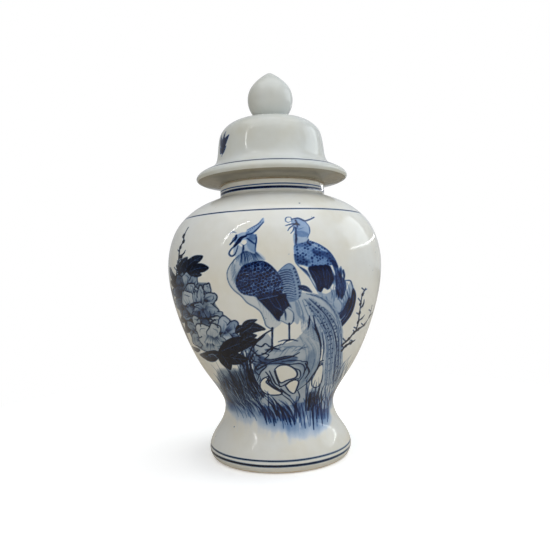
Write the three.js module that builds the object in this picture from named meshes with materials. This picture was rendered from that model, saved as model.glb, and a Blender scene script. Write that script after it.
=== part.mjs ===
// Baluster ginger jar with a domed lid, in glazed blue and white porcelain.
//
// Such a jar is thrown as separate sections that are luted together with slip before firing.
// Each section is its own solid here, with the slip joint left as a thin seam, and the lid is
// a second assembly of three sections that lifts off the neck.
//
// Millimetres, +Z up. The origin is on the table under the middle of the foot ring.

import * as THREE from 'three';

// ---- driving dimensions -------------------------------------------------------------------

const SIDES = 48; // facets round the axis
const SEAM = 0.3; // slip joint between two sections
const WALL = 7; // thickness of the thrown wall

const FOOT_RING_TOP = 9; // underside of the recessed floor
const FLOOR_TOP = 17; // inside of the jar starts here
const WAIST_HEIGHT = 58; // joint between foot and lower body
const BELLY_HEIGHT = 220; // joint between lower and upper body
const SHOULDER_HEIGHT = 301.2; // joint between upper body and neck
const NECK_TOP = 315; // flat lip that carries the lid

const NECK_RADIUS = 61.6;
const NECK_BORE = 54.6;
const BELLY_RADIUS = 124.8;
const WAIST_RADIUS = 64;
const FOOT_RADIUS = 83.2;

const COLLAR_RADIUS = 52.4; // locating collar, a loose fit in the neck
const COLLAR_BORE = 47.4;
const COLLAR_BOTTOM = 297;
const COLLAR_TOP = 316.5;

const DOME_RADIUS = 64.2;
const DOME_TOP = 393.3;
const BRIM_RADIUS = 89;

const FINIAL_RADIUS = 26.9;
const FINIAL_OFFSET = 1.2; // the finial was set by hand, a little to one side
const FINIAL_TIP = 450;

// ---- outline helpers ----------------------------------------------------------------------

// A smooth line through [radius, height] pairs, as evenly spread points.
function smooth(pairs, count) {
  const knots = pairs.map(([radius, height]) => new THREE.Vector3(radius, height, 0));
  const curve = new THREE.CatmullRomCurve3(knots, false, 'centripetal');
  return curve.getSpacedPoints(count).map((p) => new THREE.Vector2(p.x, p.y));
}

function corners(pairs) {
  return pairs.map(([radius, height]) => new THREE.Vector2(radius, height));
}

// The same line moved towards the inside of the pot, running back from its end to its start.
// It stays between the heights of its two ends, so that the joints there are level.
function innerSide(outer, thickness) {
  const lowest = outer[0].y;
  const highest = outer[outer.length - 1].y;
  const inner = outer.map((point, i) => {
    const before = outer[Math.max(i - 1, 0)];
    const after = outer[Math.min(i + 1, outer.length - 1)];
    const along = after.clone().sub(before).normalize();
    const height = THREE.MathUtils.clamp(point.y + along.x * thickness, lowest, highest);
    return new THREE.Vector2(point.x - along.y * thickness, height);
  });
  return inner.reverse();
}

// Turns an outline into a solid of revolution about Z. An outline that doesn't start on the
// axis is closed on itself.
function turned(outline) {
  const loop = outline[0].x === 0 ? outline : [...outline, outline[0].clone()];
  const geometry = new THREE.LatheGeometry(loop, SIDES);
  geometry.rotateX(Math.PI / 2);
  return geometry;
}

function section(name, outline, material) {
  const mesh = new THREE.Mesh(turned(outline), material);
  mesh.name = name;
  return mesh;
}

// ---- materials ----------------------------------------------------------------------------

const porcelain = new THREE.MeshStandardMaterial({ color: 0xdfe1dc, roughness: 0.12, metalness: 0 });
const footPorcelain = new THREE.MeshStandardMaterial({ color: 0xd9dad4, roughness: 0.16, metalness: 0 });
const lidPorcelain = new THREE.MeshStandardMaterial({ color: 0xd6d9d6, roughness: 0.12, metalness: 0 });

// ---- jar ----------------------------------------------------------------------------------

// Foot ring, recessed floor and the flare up to the waist.
function jarFoot() {
  const ring = corners([
    [0, FOOT_RING_TOP],
    [67, FOOT_RING_TOP],
    [70, 6.5],
    [71.5, 0],
    [77.5, 0],
  ]);
  const flare = smooth([
    [80.6, 2.6],
    [82.8, 7],
    [FOOT_RADIUS, 12],
    [81, 20],
    [75.3, 30],
    [68.4, 41],
    [64.6, 51],
    [WAIST_RADIUS, WAIST_HEIGHT],
  ], 8);
  const inside = innerSide(flare, WALL).filter((point) => point.y > FLOOR_TOP + 1);
  const floor = corners([
    [70, FLOOR_TOP],
    [0, FLOOR_TOP],
  ]);
  return section('jar_foot', [...ring, ...flare, ...inside, ...floor], footPorcelain);
}

// From the waist out to the widest part of the belly.
function jarLowerBody() {
  const outside = smooth([
    [WAIST_RADIUS, WAIST_HEIGHT + SEAM],
    [69, 74],
    [81.3, 93],
    [94.8, 115],
    [114.2, 162],
    [BELLY_RADIUS, BELLY_HEIGHT],
  ], 8);
  return section('jar_lower_body', [...outside, ...innerSide(outside, WALL)], porcelain);
}

// From the belly over the shoulder to the foot of the neck.
function jarUpperBody() {
  const outside = smooth([
    [BELLY_RADIUS, BELLY_HEIGHT + SEAM],
    [123.6, 236],
    [118.4, 255],
    [107.2, 273.5],
    [87, 289.8],
    [NECK_RADIUS, SHOULDER_HEIGHT],
  ], 8);
  const joint = corners([
    [NECK_BORE, SHOULDER_HEIGHT],
    [NECK_BORE, SHOULDER_HEIGHT - 5],
  ]);
  const inside = innerSide(outside, WALL);
  return section('jar_upper_body', [...outside, ...joint, ...inside], porcelain);
}

// Upright neck whose flat lip carries the brim of the lid.
function jarNeck() {
  const bottom = SHOULDER_HEIGHT + SEAM;
  const outline = corners([
    [NECK_RADIUS, bottom],
    [NECK_RADIUS, NECK_TOP - 1.2],
    [NECK_RADIUS - 1.2, NECK_TOP],
    [NECK_BORE + 1.2, NECK_TOP],
    [NECK_BORE, NECK_TOP - 1.2],
    [NECK_BORE, bottom],
  ]);
  return section('jar_neck', outline, porcelain);
}

// ---- lid ----------------------------------------------------------------------------------

// Dome and brim, thrown as one. The underside has a recess that takes the collar.
function lidDome() {
  const seat = NECK_TOP + SEAM;
  const recess = COLLAR_TOP + SEAM;
  const underside = corners([
    [COLLAR_BORE, recess],
    [COLLAR_RADIUS + SEAM, recess],
    [COLLAR_RADIUS + SEAM, seat],
    [NECK_RADIUS, seat],
    [84.5, 319.4],
  ]);
  const lip = smooth([
    [87.2, 320.8],
    [BRIM_RADIUS, 323.4],
    [86.6, 327.6],
    [82, 331],
  ], 4);
  const flare = smooth([
    [73.5, 335.2],
    [67, 340.3],
    [DOME_RADIUS, 347],
    [62.8, 356],
    [61.4, 367],
    [58.9, 375.8],
    [53.9, 382.5],
    [46.5, 387.7],
    [36, 391.2],
    [20, 393],
  ], 11);
  const cavity = smooth([
    [12, DOME_TOP - WALL],
    [32, 385],
    [45, 380],
    [52.8, 370],
    [56, 352],
    [56.6, 338],
    [53, 326],
    [COLLAR_BORE, recess + 2],
  ], 7);
  const top = corners([
    [0, DOME_TOP],
    [0, DOME_TOP - WALL],
  ]);
  return section('lid_dome', [...underside, ...lip, ...flare, ...top, ...cavity], lidPorcelain);
}

// Ring luted under the lid that drops inside the neck and keeps the lid central.
function lidCollar() {
  const outline = corners([
    [COLLAR_BORE, COLLAR_BOTTOM + 1.2],
    [COLLAR_BORE + 1.2, COLLAR_BOTTOM],
    [COLLAR_RADIUS - 1.2, COLLAR_BOTTOM],
    [COLLAR_RADIUS, COLLAR_BOTTOM + 1.2],
    [COLLAR_RADIUS, COLLAR_TOP],
    [COLLAR_BORE, COLLAR_TOP],
  ]);
  return section('lid_collar', outline, lidPorcelain);
}

// Pointed bud that serves as the lid's knob.
function lidFinial() {
  const seat = DOME_TOP + SEAM;
  const bud = smooth([
    [15.5, seat],
    [16.4, seat + 2.4],
    [20.6, 400],
    [25, 407.5],
    [FINIAL_RADIUS, 417.5],
    [25, 427],
    [20.6, 434.3],
    [13.8, 441.2],
    [6.8, 446],
    [0, FINIAL_TIP],
  ], 12);
  const base = corners([[0, seat]]);
  const finial = section('lid_finial', [...base, ...bud], lidPorcelain);
  finial.position.x = FINIAL_OFFSET;
  return finial;
}

// ---- assembly -----------------------------------------------------------------------------

const jar = new THREE.Group();
jar.add(jarFoot(), jarLowerBody(), jarUpperBody(), jarNeck());

const lid = new THREE.Group();
lid.add(lidDome(), lidCollar(), lidFinial());

const gingerJar = new THREE.Group();
gingerJar.add(jar, lid);

export default gingerJar;
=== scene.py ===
"""Looks of the blue and white ginger jar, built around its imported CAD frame.

The jar is a body of revolution, so each shown piece is an outline turned about Z. The cobalt
painting is worked out here too: brush strokes and washes are laid on the vertices of the jar's
outside as two values, how much cobalt there is and how blue it is, and the glaze material
turns those into colour. The painting is this script's own bird-and-flower design.

Blender works in metres. The outlines and the painting are in millimetres, as the CAD is.
"""

import math

import bmesh
import bpy
import numpy as np
from mathutils import Matrix, Vector


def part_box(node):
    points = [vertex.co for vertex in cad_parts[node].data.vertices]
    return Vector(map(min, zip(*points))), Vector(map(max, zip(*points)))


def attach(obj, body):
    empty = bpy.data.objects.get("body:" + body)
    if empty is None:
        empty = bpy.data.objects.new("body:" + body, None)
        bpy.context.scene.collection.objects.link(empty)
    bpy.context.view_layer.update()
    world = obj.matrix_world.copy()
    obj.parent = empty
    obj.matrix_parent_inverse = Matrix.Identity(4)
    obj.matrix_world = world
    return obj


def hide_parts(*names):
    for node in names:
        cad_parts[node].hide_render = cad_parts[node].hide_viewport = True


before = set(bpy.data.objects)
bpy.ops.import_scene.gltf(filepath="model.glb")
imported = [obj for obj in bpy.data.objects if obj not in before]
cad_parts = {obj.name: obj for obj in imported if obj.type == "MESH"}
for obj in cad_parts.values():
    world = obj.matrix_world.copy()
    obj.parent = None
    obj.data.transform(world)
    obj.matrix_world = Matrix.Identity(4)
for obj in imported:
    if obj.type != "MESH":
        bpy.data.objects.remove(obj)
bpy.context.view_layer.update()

MM = 0.001
RANDOM_SEED = 7
rng = np.random.default_rng(RANDOM_SEED)

# ---- sizes from the frame, in millimetres -------------------------------------------------

def node_box(node):
    """A CAD node's lowest and highest corners in millimetres."""
    low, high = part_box(node)
    return low / MM, high / MM


foot_low, foot_high = node_box("jar_foot")
belly_low, belly_high = node_box("jar_upper_body")
neck_low, neck_high = node_box("jar_neck")
dome_low, dome_high = node_box("lid_dome")
collar_low, collar_high = node_box("lid_collar")
finial_low, finial_high = node_box("lid_finial")

FOOT_RADIUS = foot_high.x
WAIST_HEIGHT = foot_high.z
BELLY_RADIUS = belly_high.x
BELLY_HEIGHT = belly_low.z
NECK_RADIUS = neck_high.x
NECK_FOOT = neck_low.z
NECK_TOP = neck_high.z
BRIM_RADIUS = dome_high.x
DOME_TOP = dome_high.z
LID_SEAT = dome_low.z
COLLAR_RADIUS = collar_high.x
COLLAR_BOTTOM = collar_low.z
FINIAL_X = (finial_low.x + finial_high.x) / 2
FINIAL_RADIUS = (finial_high.x - finial_low.x) / 2
TIP = finial_high.z

WALL = 7.0  # thickness of the thrown wall
COLLAR_WALL = 5.0
NECK_BORE = NECK_RADIUS - WALL
COLLAR_BORE = COLLAR_RADIUS - COLLAR_WALL
COLLAR_TOP = 318.6  # where the collar meets the hollow of the lid
FOOT_RECESS = 9.0  # height of the underside of the floor
FLOOR_TOP = 17.0

FINE = 0.7  # spacing of the vertices where the painting is dense
COARSE = 1.6  # and round the back
FRONT = (math.radians(-84), math.radians(72))  # the densely painted side
SIDES = 256  # facets of an unpainted piece
LID_SIDES = 420
NECK_SIDES = 480

# ---- outlines -----------------------------------------------------------------------------

def run_along(line):
    """How far along the line each of its points is."""
    return np.concatenate([[0], np.cumsum(np.hypot(*np.diff(line, axis=0).T))])


def spline(knots, spacing):
    """Points every spacing along a natural cubic spline through the knots."""
    knots = np.array(knots, float)
    steps = np.sqrt(np.hypot(*np.diff(knots, axis=0).T))
    at = np.concatenate([[0], np.cumsum(steps)])
    n = len(at)
    system = np.eye(n)
    right = np.zeros((n, 2))
    for i in range(1, n - 1):
        before, after = at[i] - at[i - 1], at[i + 1] - at[i]
        system[i, i - 1 : i + 2] = before, 2 * (before + after), after
        rise_before = (knots[i] - knots[i - 1]) / before
        rise_after = (knots[i + 1] - knots[i]) / after
        right[i] = 6 * (rise_after - rise_before)
    bend = np.linalg.solve(system, right)

    def point(t):
        i = np.clip(np.searchsorted(at, t) - 1, 0, n - 2)
        h = (at[i + 1] - at[i])[:, None]
        a = (at[i + 1] - t)[:, None] / h
        b = (t - at[i])[:, None] / h
        curve = ((a**3 - a) * bend[i] + (b**3 - b) * bend[i + 1]) * h**2 / 6
        return a * knots[i] + b * knots[i + 1] + curve

    return evenly(point(np.linspace(0, at[-1], 60 * n)), spacing)


def evenly(points, spacing):
    """The same line with its points spread at even distances of about spacing."""
    points = np.array(points, float)
    run = run_along(points)
    count = max(int(round(run[-1] / spacing)), 1) + 1
    at = np.linspace(0, run[-1], count)
    return np.stack([np.interp(at, run, points[:, i]) for i in (0, 1)], 1)


def joined(*parts):
    """One line from several that follow on from each other, without doubled points."""
    points = [np.array(parts[0], float)]
    for part in parts[1:]:
        part = np.array(part, float)
        same = np.allclose(part[0], points[-1][-1], atol=1e-6)
        points.append(part[1:] if same else part)
    return np.concatenate(points)


JAR_KNOTS = [
    (80.6, 2.6),
    (82.8, 7),
    (FOOT_RADIUS, 12),
    (81, 20),
    (75.3, 30),
    (68.4, 41),
    (64, WAIST_HEIGHT),
    (69, 74),
    (81.3, 93),
    (94.8, 115),
    (114.2, 162),
    (BELLY_RADIUS, BELLY_HEIGHT),
    (118.4, 255),
    (107.2, 273.5),
    (87, 289.8),
    (NECK_RADIUS + 2.5, NECK_FOOT - 1.8),
]
jar_line = spline(JAR_KNOTS, FINE)
lid_line = spline([
    (BRIM_RADIUS - 1.8, 320.8),
    (BRIM_RADIUS, 323.6),
    (BRIM_RADIUS - 2.4, 327.8),
    (82, 331),
    (73.5, 335.2),
    (67, 340.3),
    (64.2, 347),
    (62.8, 356),
    (61.4, 367),
    (58.9, 375.8),
    (53.9, 382.5),
    (46.5, 387.7),
    (36, 391.2),
    (20, DOME_TOP - 0.3),
    (0, DOME_TOP),
], 1.0)

# ---- turning outlines into meshes ---------------------------------------------------------

def even_angles(sides=SIDES):
    """Angles at equal steps all the way round."""
    return np.linspace(-math.pi, math.pi, sides + 1)[:-1]


def painted_angles():
    """Angles round the jar, close together on the painted side and wider apart behind."""
    step = FINE / BELLY_RADIUS
    front = np.arange(FRONT[0], FRONT[1], step)
    behind = 2 * math.pi - (front[-1] - front[0])
    count = int(behind / (COARSE / BELLY_RADIUS))
    back = front[-1] + np.arange(1, count) * behind / count
    return np.concatenate([front, back])


def turned(name, line, angles, values=None, centre=0.0, closed=False):
    """A mesh of the outline turned about Z. Angle 0 is the front, -Y, and angles grow to +X.

    values are extra numbers for each vertex, row by row of the outline. closed joins the
    outline's end to its start.
    """
    radius, height = line[:, 0], line[:, 1]
    rows, columns = len(line), len(angles)
    x = centre + radius[:, None] * np.sin(angles)
    y = -radius[:, None] * np.cos(angles)
    z = np.repeat(height[:, None], columns, axis=1)
    points = np.stack([x, y, z], -1).reshape(-1, 3) * MM
    index = np.arange(rows * columns).reshape(rows, columns)
    if closed:
        index = np.vstack([index, index[:1]])
    right = np.roll(index, -1, axis=1)
    quads = np.stack([index[:-1], right[:-1], right[1:], index[1:]], -1).reshape(-1, 4)
    mesh = bpy.data.meshes.new(name)
    mesh.vertices.add(len(points))
    mesh.vertices.foreach_set("co", points.astype(np.float32).ravel())
    mesh.loops.add(quads.size)
    mesh.loops.foreach_set("vertex_index", quads.astype(np.int32).ravel())
    mesh.polygons.add(len(quads))
    mesh.polygons.foreach_set("loop_start", np.arange(0, quads.size, 4, dtype=np.int32))
    mesh.update(calc_edges=True)
    for key, field in (values or {}).items():
        attribute = mesh.attributes.new(key, "FLOAT", "POINT")
        attribute.data.foreach_set("value", field.astype(np.float32).ravel())
    weld_axis(mesh, line)
    mesh.polygons.foreach_set("use_smooth", np.ones(len(mesh.polygons), dtype=bool))
    piece = bpy.data.objects.new(name, mesh)
    bpy.context.scene.collection.objects.link(piece)
    return piece


def weld_axis(mesh, line):
    """Merges a row of vertices that has shrunk to a point on the axis."""
    if line[:, 0].min() > 1e-4:
        return
    work = bmesh.new()
    work.from_mesh(mesh)
    bmesh.ops.remove_doubles(work, verts=work.verts, dist=1e-6)
    bmesh.ops.dissolve_degenerate(work, edges=work.edges, dist=1e-7)
    work.to_mesh(mesh)
    work.free()


# ---- the painter --------------------------------------------------------------------------

def smoothstep(low, high, x):
    """0 below low, 1 above high and an easy curve between them."""
    t = np.clip((x - low) / (high - low), 0, 1)
    return t * t * (3 - 2 * t)


def curve_through(points, closed=False, per_span=6):
    """A rounded line through given points (Catmull-Rom)."""
    p = np.array(points, float)
    if len(p) < 3:
        return p
    ends = (p[-1:], p[:2]) if closed else (2 * p[0] - p[1], 2 * p[-1] - p[-2])
    knots = np.vstack([ends[0], p, ends[1]])
    t = np.linspace(0, 1, per_span, endpoint=False)[:, None]
    spans = []
    for a, b, c, d in zip(knots, knots[1:], knots[2:], knots[3:]):
        square = (2 * a - 5 * b + 4 * c - d) * t**2
        cube = (3 * b - a - 3 * c + d) * t**3
        spans.append(0.5 * (2 * b + (c - a) * t + square + cube))
    line = np.vstack(spans)
    return line if closed else np.vstack([line, p[-1:]])


def distance_from(line, x, y, half_width=None):
    """How far each place is outside a line, which may have a half width at each point."""
    half = np.zeros(len(line)) if half_width is None else half_width
    nearest = np.full(x.shape, 1e9, np.float32)
    for a, b, half_a, half_b in zip(line, line[1:], half, half[1:]):
        d = b - a
        t = np.clip(((x - a[0]) * d[0] + (y - a[1]) * d[1]) / (d @ d + 1e-9), 0, 1)
        gap = np.hypot(x - a[0] - t * d[0], y - a[1] - t * d[1]) - (half_a + (half_b - half_a) * t)
        np.minimum(nearest, gap, out=nearest)
    return nearest


def encloses(line, x, y):
    """Whether each place is inside a closed line."""
    within = np.zeros(x.shape, bool)
    for a, b in zip(line, np.roll(line, -1, axis=0)):
        d = b - a
        if abs(d[1]) > 1e-9:
            crosses = (a[1] > y) != (b[1] > y)
            within ^= crosses & (x < a[0] + (y - a[1]) * d[0] / d[1])
    return within


EDGE_OF_VIEW = 0.94  # share of the radius where the flat front view ends
ROUND_BRUSH = (0.5, 1.0, 0.3)  # width at the start, middle and end, as shares


class Painting:
    """Cobalt on a surface of revolution. ink is how much there is and blue is its hue.

    Places are given as seen from the front: millimetres to the right of the axis and
    millimetres above the table. turn swings that view round the jar, in degrees.
    """

    def __init__(self, line, angles):
        self.line = line
        self.radius, self.height = line[:, 0], line[:, 1]
        self.arc = run_along(line)
        self.angles = angles
        shape = (len(line), len(angles))
        self.ink = np.zeros(shape, np.float32)
        self.blue = np.full(shape, 0.5, np.float32)
        self.turn = 0.0
        self.grain = self.noise(2.2) * 0.5 + self.noise(0.9) * 0.5
        self.cloud = self.noise(14) * 0.6 + self.noise(6) * 0.4

    def noise(self, size):
        """Smooth random values from -1 to 1 that change over about size millimetres."""
        rows = int(self.arc[-1] / size) + 3
        columns = max(int(2 * math.pi * BELLY_RADIUS / size), 4)
        lattice = rng.uniform(-1, 1, (rows, columns))
        u = self.arc / size
        v = (self.angles % (2 * math.pi)) / (2 * math.pi) * columns
        row, column = u.astype(int), v.astype(int) % columns
        after = (column + 1) % columns
        up = smoothstep(0, 1, u - row)[:, None]
        along = smoothstep(0, 1, v - v.astype(int))[None]

        def level(i):
            return lattice[np.ix_(i, column)] * (1 - along) + lattice[np.ix_(i, after)] * along

        return (level(row) * (1 - up) + level(row + 1) * up).astype(np.float32)

    def place(self, points):
        """Angle and arc length of points given as (right, up). What lies near or past the
        edge of the view is carried on round the side."""
        across, up = np.array(points, float).T
        radius = np.interp(up, self.height, self.radius)
        share = across / radius
        beyond = np.maximum(np.abs(share) - EDGE_OF_VIEW, 0)
        angle = np.arcsin(np.clip(share, -EDGE_OF_VIEW, EDGE_OF_VIEW))
        angle = angle + 1.6 * np.sign(share) * beyond
        return angle + math.radians(self.turn), np.interp(up, self.height, self.arc), radius

    def patch(self, points, margin):
        """The vertices near the points, on a flat local map in millimetres. It is None where
        there are no vertices."""
        angle, arc, radius = self.place(points)
        middle = (angle.min() + angle.max()) / 2
        reach = (angle.max() - angle.min()) / 2 + margin / radius.min()
        away = (self.angles - middle + math.pi) % (2 * math.pi) - math.pi
        columns = np.nonzero(np.abs(away) < reach)[0]
        rows = np.nonzero((self.arc > arc.min() - margin) & (self.arc < arc.max() + margin))[0]
        if not len(rows) or not len(columns):
            return None
        x = self.radius[rows][:, None] * away[columns][None]
        y = np.repeat(self.arc[rows][:, None], len(columns), axis=1)
        line = np.stack([radius * (angle - middle), arc], 1)
        return np.ix_(rows, columns), x.astype(np.float32), y.astype(np.float32), line

    def lay(self, where, amount, blue):
        """Adds cobalt, darkening what is already there."""
        ink, hue = self.ink[where], self.blue[where]
        amount = np.clip(amount, 0, 0.995)
        share = amount / (amount + ink + 1e-4)
        self.blue[where] = hue + (blue - hue) * share
        self.ink[where] = 1 - (1 - ink) * (1 - amount)

    def stroke(self, points, width, ink, blue, soft=0.35, dry=0.12, rounded=True):
        """A brush stroke. width is one number or its start, middle and end."""
        line = curve_through(points) if rounded else np.array(points, float)
        widths = [width * share for share in ROUND_BRUSH] if np.isscalar(width) else width
        found = self.patch(line, max(widths) / 2 + 2 * soft + 1)
        if found is None:
            return
        where, x, y, line = found
        run = run_along(line)
        half = np.interp(run / run[-1], (0, 0.5, 1), widths) / 2
        cover = 1 - smoothstep(-soft, soft, distance_from(line, x, y, half))
        self.lay(where, ink * cover * (1 + dry * self.grain[where]), blue)

    def inside(self, points, soft):
        """How far a closed outline covers each vertex, and the distance to its edge."""
        found = self.patch(curve_through(points, closed=True), 2 * soft + 2)
        if found is None:
            return None
        where, x, y, line = found
        edge = distance_from(np.vstack([line, line[:1]]), x, y)
        signed = np.where(encloses(line, x, y), -edge, edge)
        return where, 1 - smoothstep(-soft, soft, signed), edge, (x, y)

    def wash(self, points, ink, blue, soft=0.7, pool=0.25, cloud=0.25):
        """A filled shape of thin cobalt that gathers a little at its edge."""
        found = self.inside(points, soft)
        if found is None:
            return
        where, cover, edge, _ = found
        amount = ink * (1 + cloud * self.cloud[where] + 0.1 * self.grain[where])
        amount = amount * (1 + pool * np.exp(-edge / 1.1))
        self.lay(where, amount * cover, blue)

    def wipe(self, points, soft=0.5):
        """Leaves a shape in reserve, so that what comes next stands in front."""
        found = self.inside(points, soft)
        if found is not None:
            self.ink[found[0]] *= 1 - found[1]

    def shape(self, points, ink, blue, **wash):
        """A shape in thin cobalt that hides what is behind it."""
        self.wipe(points)
        self.wash(points, ink, blue, **wash)

    def lift(self, points, width, keep, soft=0.4):
        """A thin pale line through dark paint."""
        found = self.patch(curve_through(points), width + 2)
        if found is None:
            return
        where, x, y, line = found
        cover = 1 - smoothstep(-soft, soft, distance_from(line, x, y) - width / 2)
        self.ink[where] *= 1 - cover * (1 - keep)

    def dot(self, at, size, ink, blue, soft=0.35):
        """A round touch of the brush."""
        x, z = at
        ends = [(x - size * 0.1, z), (x + size * 0.1, z)]
        self.stroke(ends, (size, size, size), ink, blue, soft, rounded=False)

    def ring(self, height, width, ink, blue, fade, wobble=0.12):
        """A line banded on the wheel. fade thins it towards the right of the front."""
        at = np.interp(height, self.height, self.arc)
        slow, quick = np.sin(3 * self.angles + height), np.sin(7 * self.angles + 2 * height)
        drift = wobble * (slow + 0.6 * quick)
        gap = np.abs(self.arc[:, None] - at - drift[None])
        load = 0.5 + 0.5 * np.cos(self.angles + 0.9)
        strength = ink * (1 - fade * (1 - load))
        cover = 1 - smoothstep(width / 2 - 0.4, width / 2 + 0.4, gap)
        self.lay(np.s_[:, :], cover * strength[None] * (1 + 0.12 * self.grain), blue)

    def settle(self):
        """The glaze softens every edge a little as it melts."""
        side = (np.roll(self.ink, 1, axis=1) + np.roll(self.ink, -1, axis=1)) / 2
        self.ink = 0.88 * self.ink + 0.12 * side


# ---- motifs -------------------------------------------------------------------------------

def between(a, b, t):
    """The point at share t of the way from a to b."""
    return (a[0] + (b[0] - a[0]) * t, a[1] + (b[1] - a[1]) * t)


def jitter(point, amount):
    """The point moved a little at random."""
    return (point[0] + rng.normal(0, amount), point[1] + rng.normal(0, amount))


def fan(paint, base, tips, count, width, ink, blue, bow=0.12, stray=0.6):
    """Strokes from along one line to along another, as in a tuft or a ruff of feathers."""
    base, tips = curve_through(base), curve_through(tips)
    for i in range(count):
        t = (i + rng.uniform(0.1, 0.9)) / count
        start = jitter(base[int(t * (len(base) - 1))], stray * 0.5)
        end = jitter(tips[int(t * (len(tips) - 1))], stray)
        end = between(start, end, rng.uniform(0.75, 1.0))
        side = bow * rng.uniform(-0.3, 1)
        x, z = between(start, end, 0.5)
        middle = (x - (end[1] - start[1]) * side, z + (end[0] - start[0]) * side)
        size = width * rng.uniform(0.7, 1.25)
        load = ink * rng.uniform(0.75, 1.1)
        paint.stroke([start, middle, end], (size, size * 0.8, size * 0.25), load, blue)


def barbs(paint, quill, length, count, width, ink, blue, slant, bare=0.05):
    """Short strokes slanting off both sides of a feather's quill, past its bare start."""
    line = curve_through(quill)
    for i in range(count):
        t = bare + (1 - bare) * (i + 0.5) / count
        k = int(t * (len(line) - 2))
        along = line[k + 1] - line[k]
        along /= np.hypot(*along) + 1e-9
        across = np.array([-along[1], along[0]])
        size = length * math.sin(math.pi * min(0.15 + 0.8 * t, 1)) ** 0.6
        for side in (1, -1):
            tip = line[k] + (across * side + along * slant) * size * rng.uniform(0.8, 1.1)
            load = ink * rng.uniform(0.7, 1.1)
            widths = (width, width * 0.7, width * 0.3)
            paint.stroke([line[k], tip], widths, load, blue, rounded=False)


def flecks(paint, count, across, up, shape, width, ink, blue, **brush):
    """Short strokes of one shape, scattered over a patch. across, up and ink are ranges."""
    for _ in range(count):
        x, z = rng.uniform(*across), rng.uniform(*up)
        line = [(x + right, z + rise) for right, rise in shape]
        paint.stroke(line, width, rng.uniform(*ink), blue, **brush)


def leaf(paint, base, tip, breadth, ink, blue, lobes=0, bend=0.1):
    """A leaf laid in one loaded press of the brush, with pale veins left in it."""
    base, tip = np.array(base, float), np.array(tip, float)
    along = tip - base
    across = np.array([-along[1], along[0]]) / np.hypot(*along)

    def spine(t):
        return base + along * t + across * bend * np.hypot(*along) * math.sin(math.pi * t)

    left, right = [], []
    for t in (0.0, 0.18, 0.4, 0.62, 0.82, 1.0):
        half = breadth / 2 * math.sin(math.pi * t**0.8) ** 0.8
        ragged = 1 + 0.25 * math.cos(t * math.pi * 2 * lobes) if lobes else 1
        left.append(spine(t) + across * half * ragged)
        right.append(spine(t) - across * half * ragged)
    paint.wash(left + right[::-1][1:-1], ink, blue, soft=0.5, pool=0.05, cloud=0.1)
    paint.lift([spine(t) for t in (0.1, 0.5, 0.9)], 0.5, 0.6)
    for i in range(3):
        start = base + along * (0.25 + 0.2 * i) + across * bend * np.hypot(*along) * 0.9
        for way in (1, -1):
            end = start + along * 0.16 + across * way * breadth * 0.3
            paint.lift([start, end], 0.45, rng.uniform(0.6, 0.9))


def leaves(paint, rows, ink, blue, **form):
    """Leaves from rows of where each starts, where it ends and how broad it is."""
    for base, tip, breadth in rows:
        leaf(paint, base, tip, breadth, ink, blue, **form)


def petal(paint, centre, size, facing, ink, blue, edge, squash):
    """A frilled petal: dark where it springs from the flower, pale towards its outlined rim.
    squash is its breadth as a share of its length."""
    centre = np.array(centre, float)
    turn = math.radians(facing)
    out = np.array([math.cos(turn), math.sin(turn)])
    side = np.array([-out[1], out[0]])
    phase, lobes = rng.uniform(0, 6), rng.integers(3, 6)
    rim = []
    for i in range(21):
        a = math.radians(-112 + 224 * i / 20)
        frill = 1 + 0.1 * math.cos(lobes * a + phase) + rng.normal(0, 0.02)
        rim.append(centre + size * frill * (out * math.cos(a) + side * squash * math.sin(a)))
    root = centre - out * size * 0.8
    tone = ink * rng.uniform(0.75, 1.2)
    paint.shape([root] + rim, tone, blue, cloud=0.3)
    for _ in range(int(size * squash * 1.2) + 3):
        slant = rng.uniform(-0.75, 0.75)
        start = root + side * squash * slant * size * 0.5
        reach = size * rng.uniform(0.5, 1.3)
        end = start + (out + side * 0.5 * slant) * reach
        load = tone * rng.uniform(0.3, 1.1)
        paint.stroke([start, end], (2.2, 1.3, 0.3), load, blue, soft=0.7, rounded=False)
    weight = rng.uniform(0.8, 1.3)
    paint.stroke(rim, (weight * 0.7, weight * 1.2, weight * 0.7), edge, blue, soft=0.35, dry=0.35)
    if size > 6:
        fold = [root + (q - root) * 0.72 + side * size * 0.1 for q in rim[5:12]]
        paint.stroke(fold, (0.4, 0.8, 0.3), edge * 0.75, blue, soft=0.35, dry=0.4)


def peony(paint, centre, size, ink, blue, petals, start):
    """A small flower head of two rings of petals, the outer one painted first."""
    centre = np.array(centre, float)
    for row, (count, reach, length) in enumerate([(petals, 0.62, 0.44), (petals - 2, 0.34, 0.34)]):
        for i in range(count):
            angle = start + 360 * i / count + 25 * row + rng.uniform(-14, 14)
            a = math.radians(angle)
            outward = np.array([math.cos(a), 0.9 * math.sin(a)])
            place = centre + size * reach * rng.uniform(0.85, 1.12) * outward
            squash = rng.uniform(0.75, 1.2)
            petal(paint, place, size * length, angle, ink * (1 + 0.2 * row), blue, 0.75, squash)
    for _ in range(7):
        place = jitter(centre, size * 0.1)
        paint.stroke([place, jitter(place, size * 0.08)], 1.3, 0.85, blue)


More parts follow.
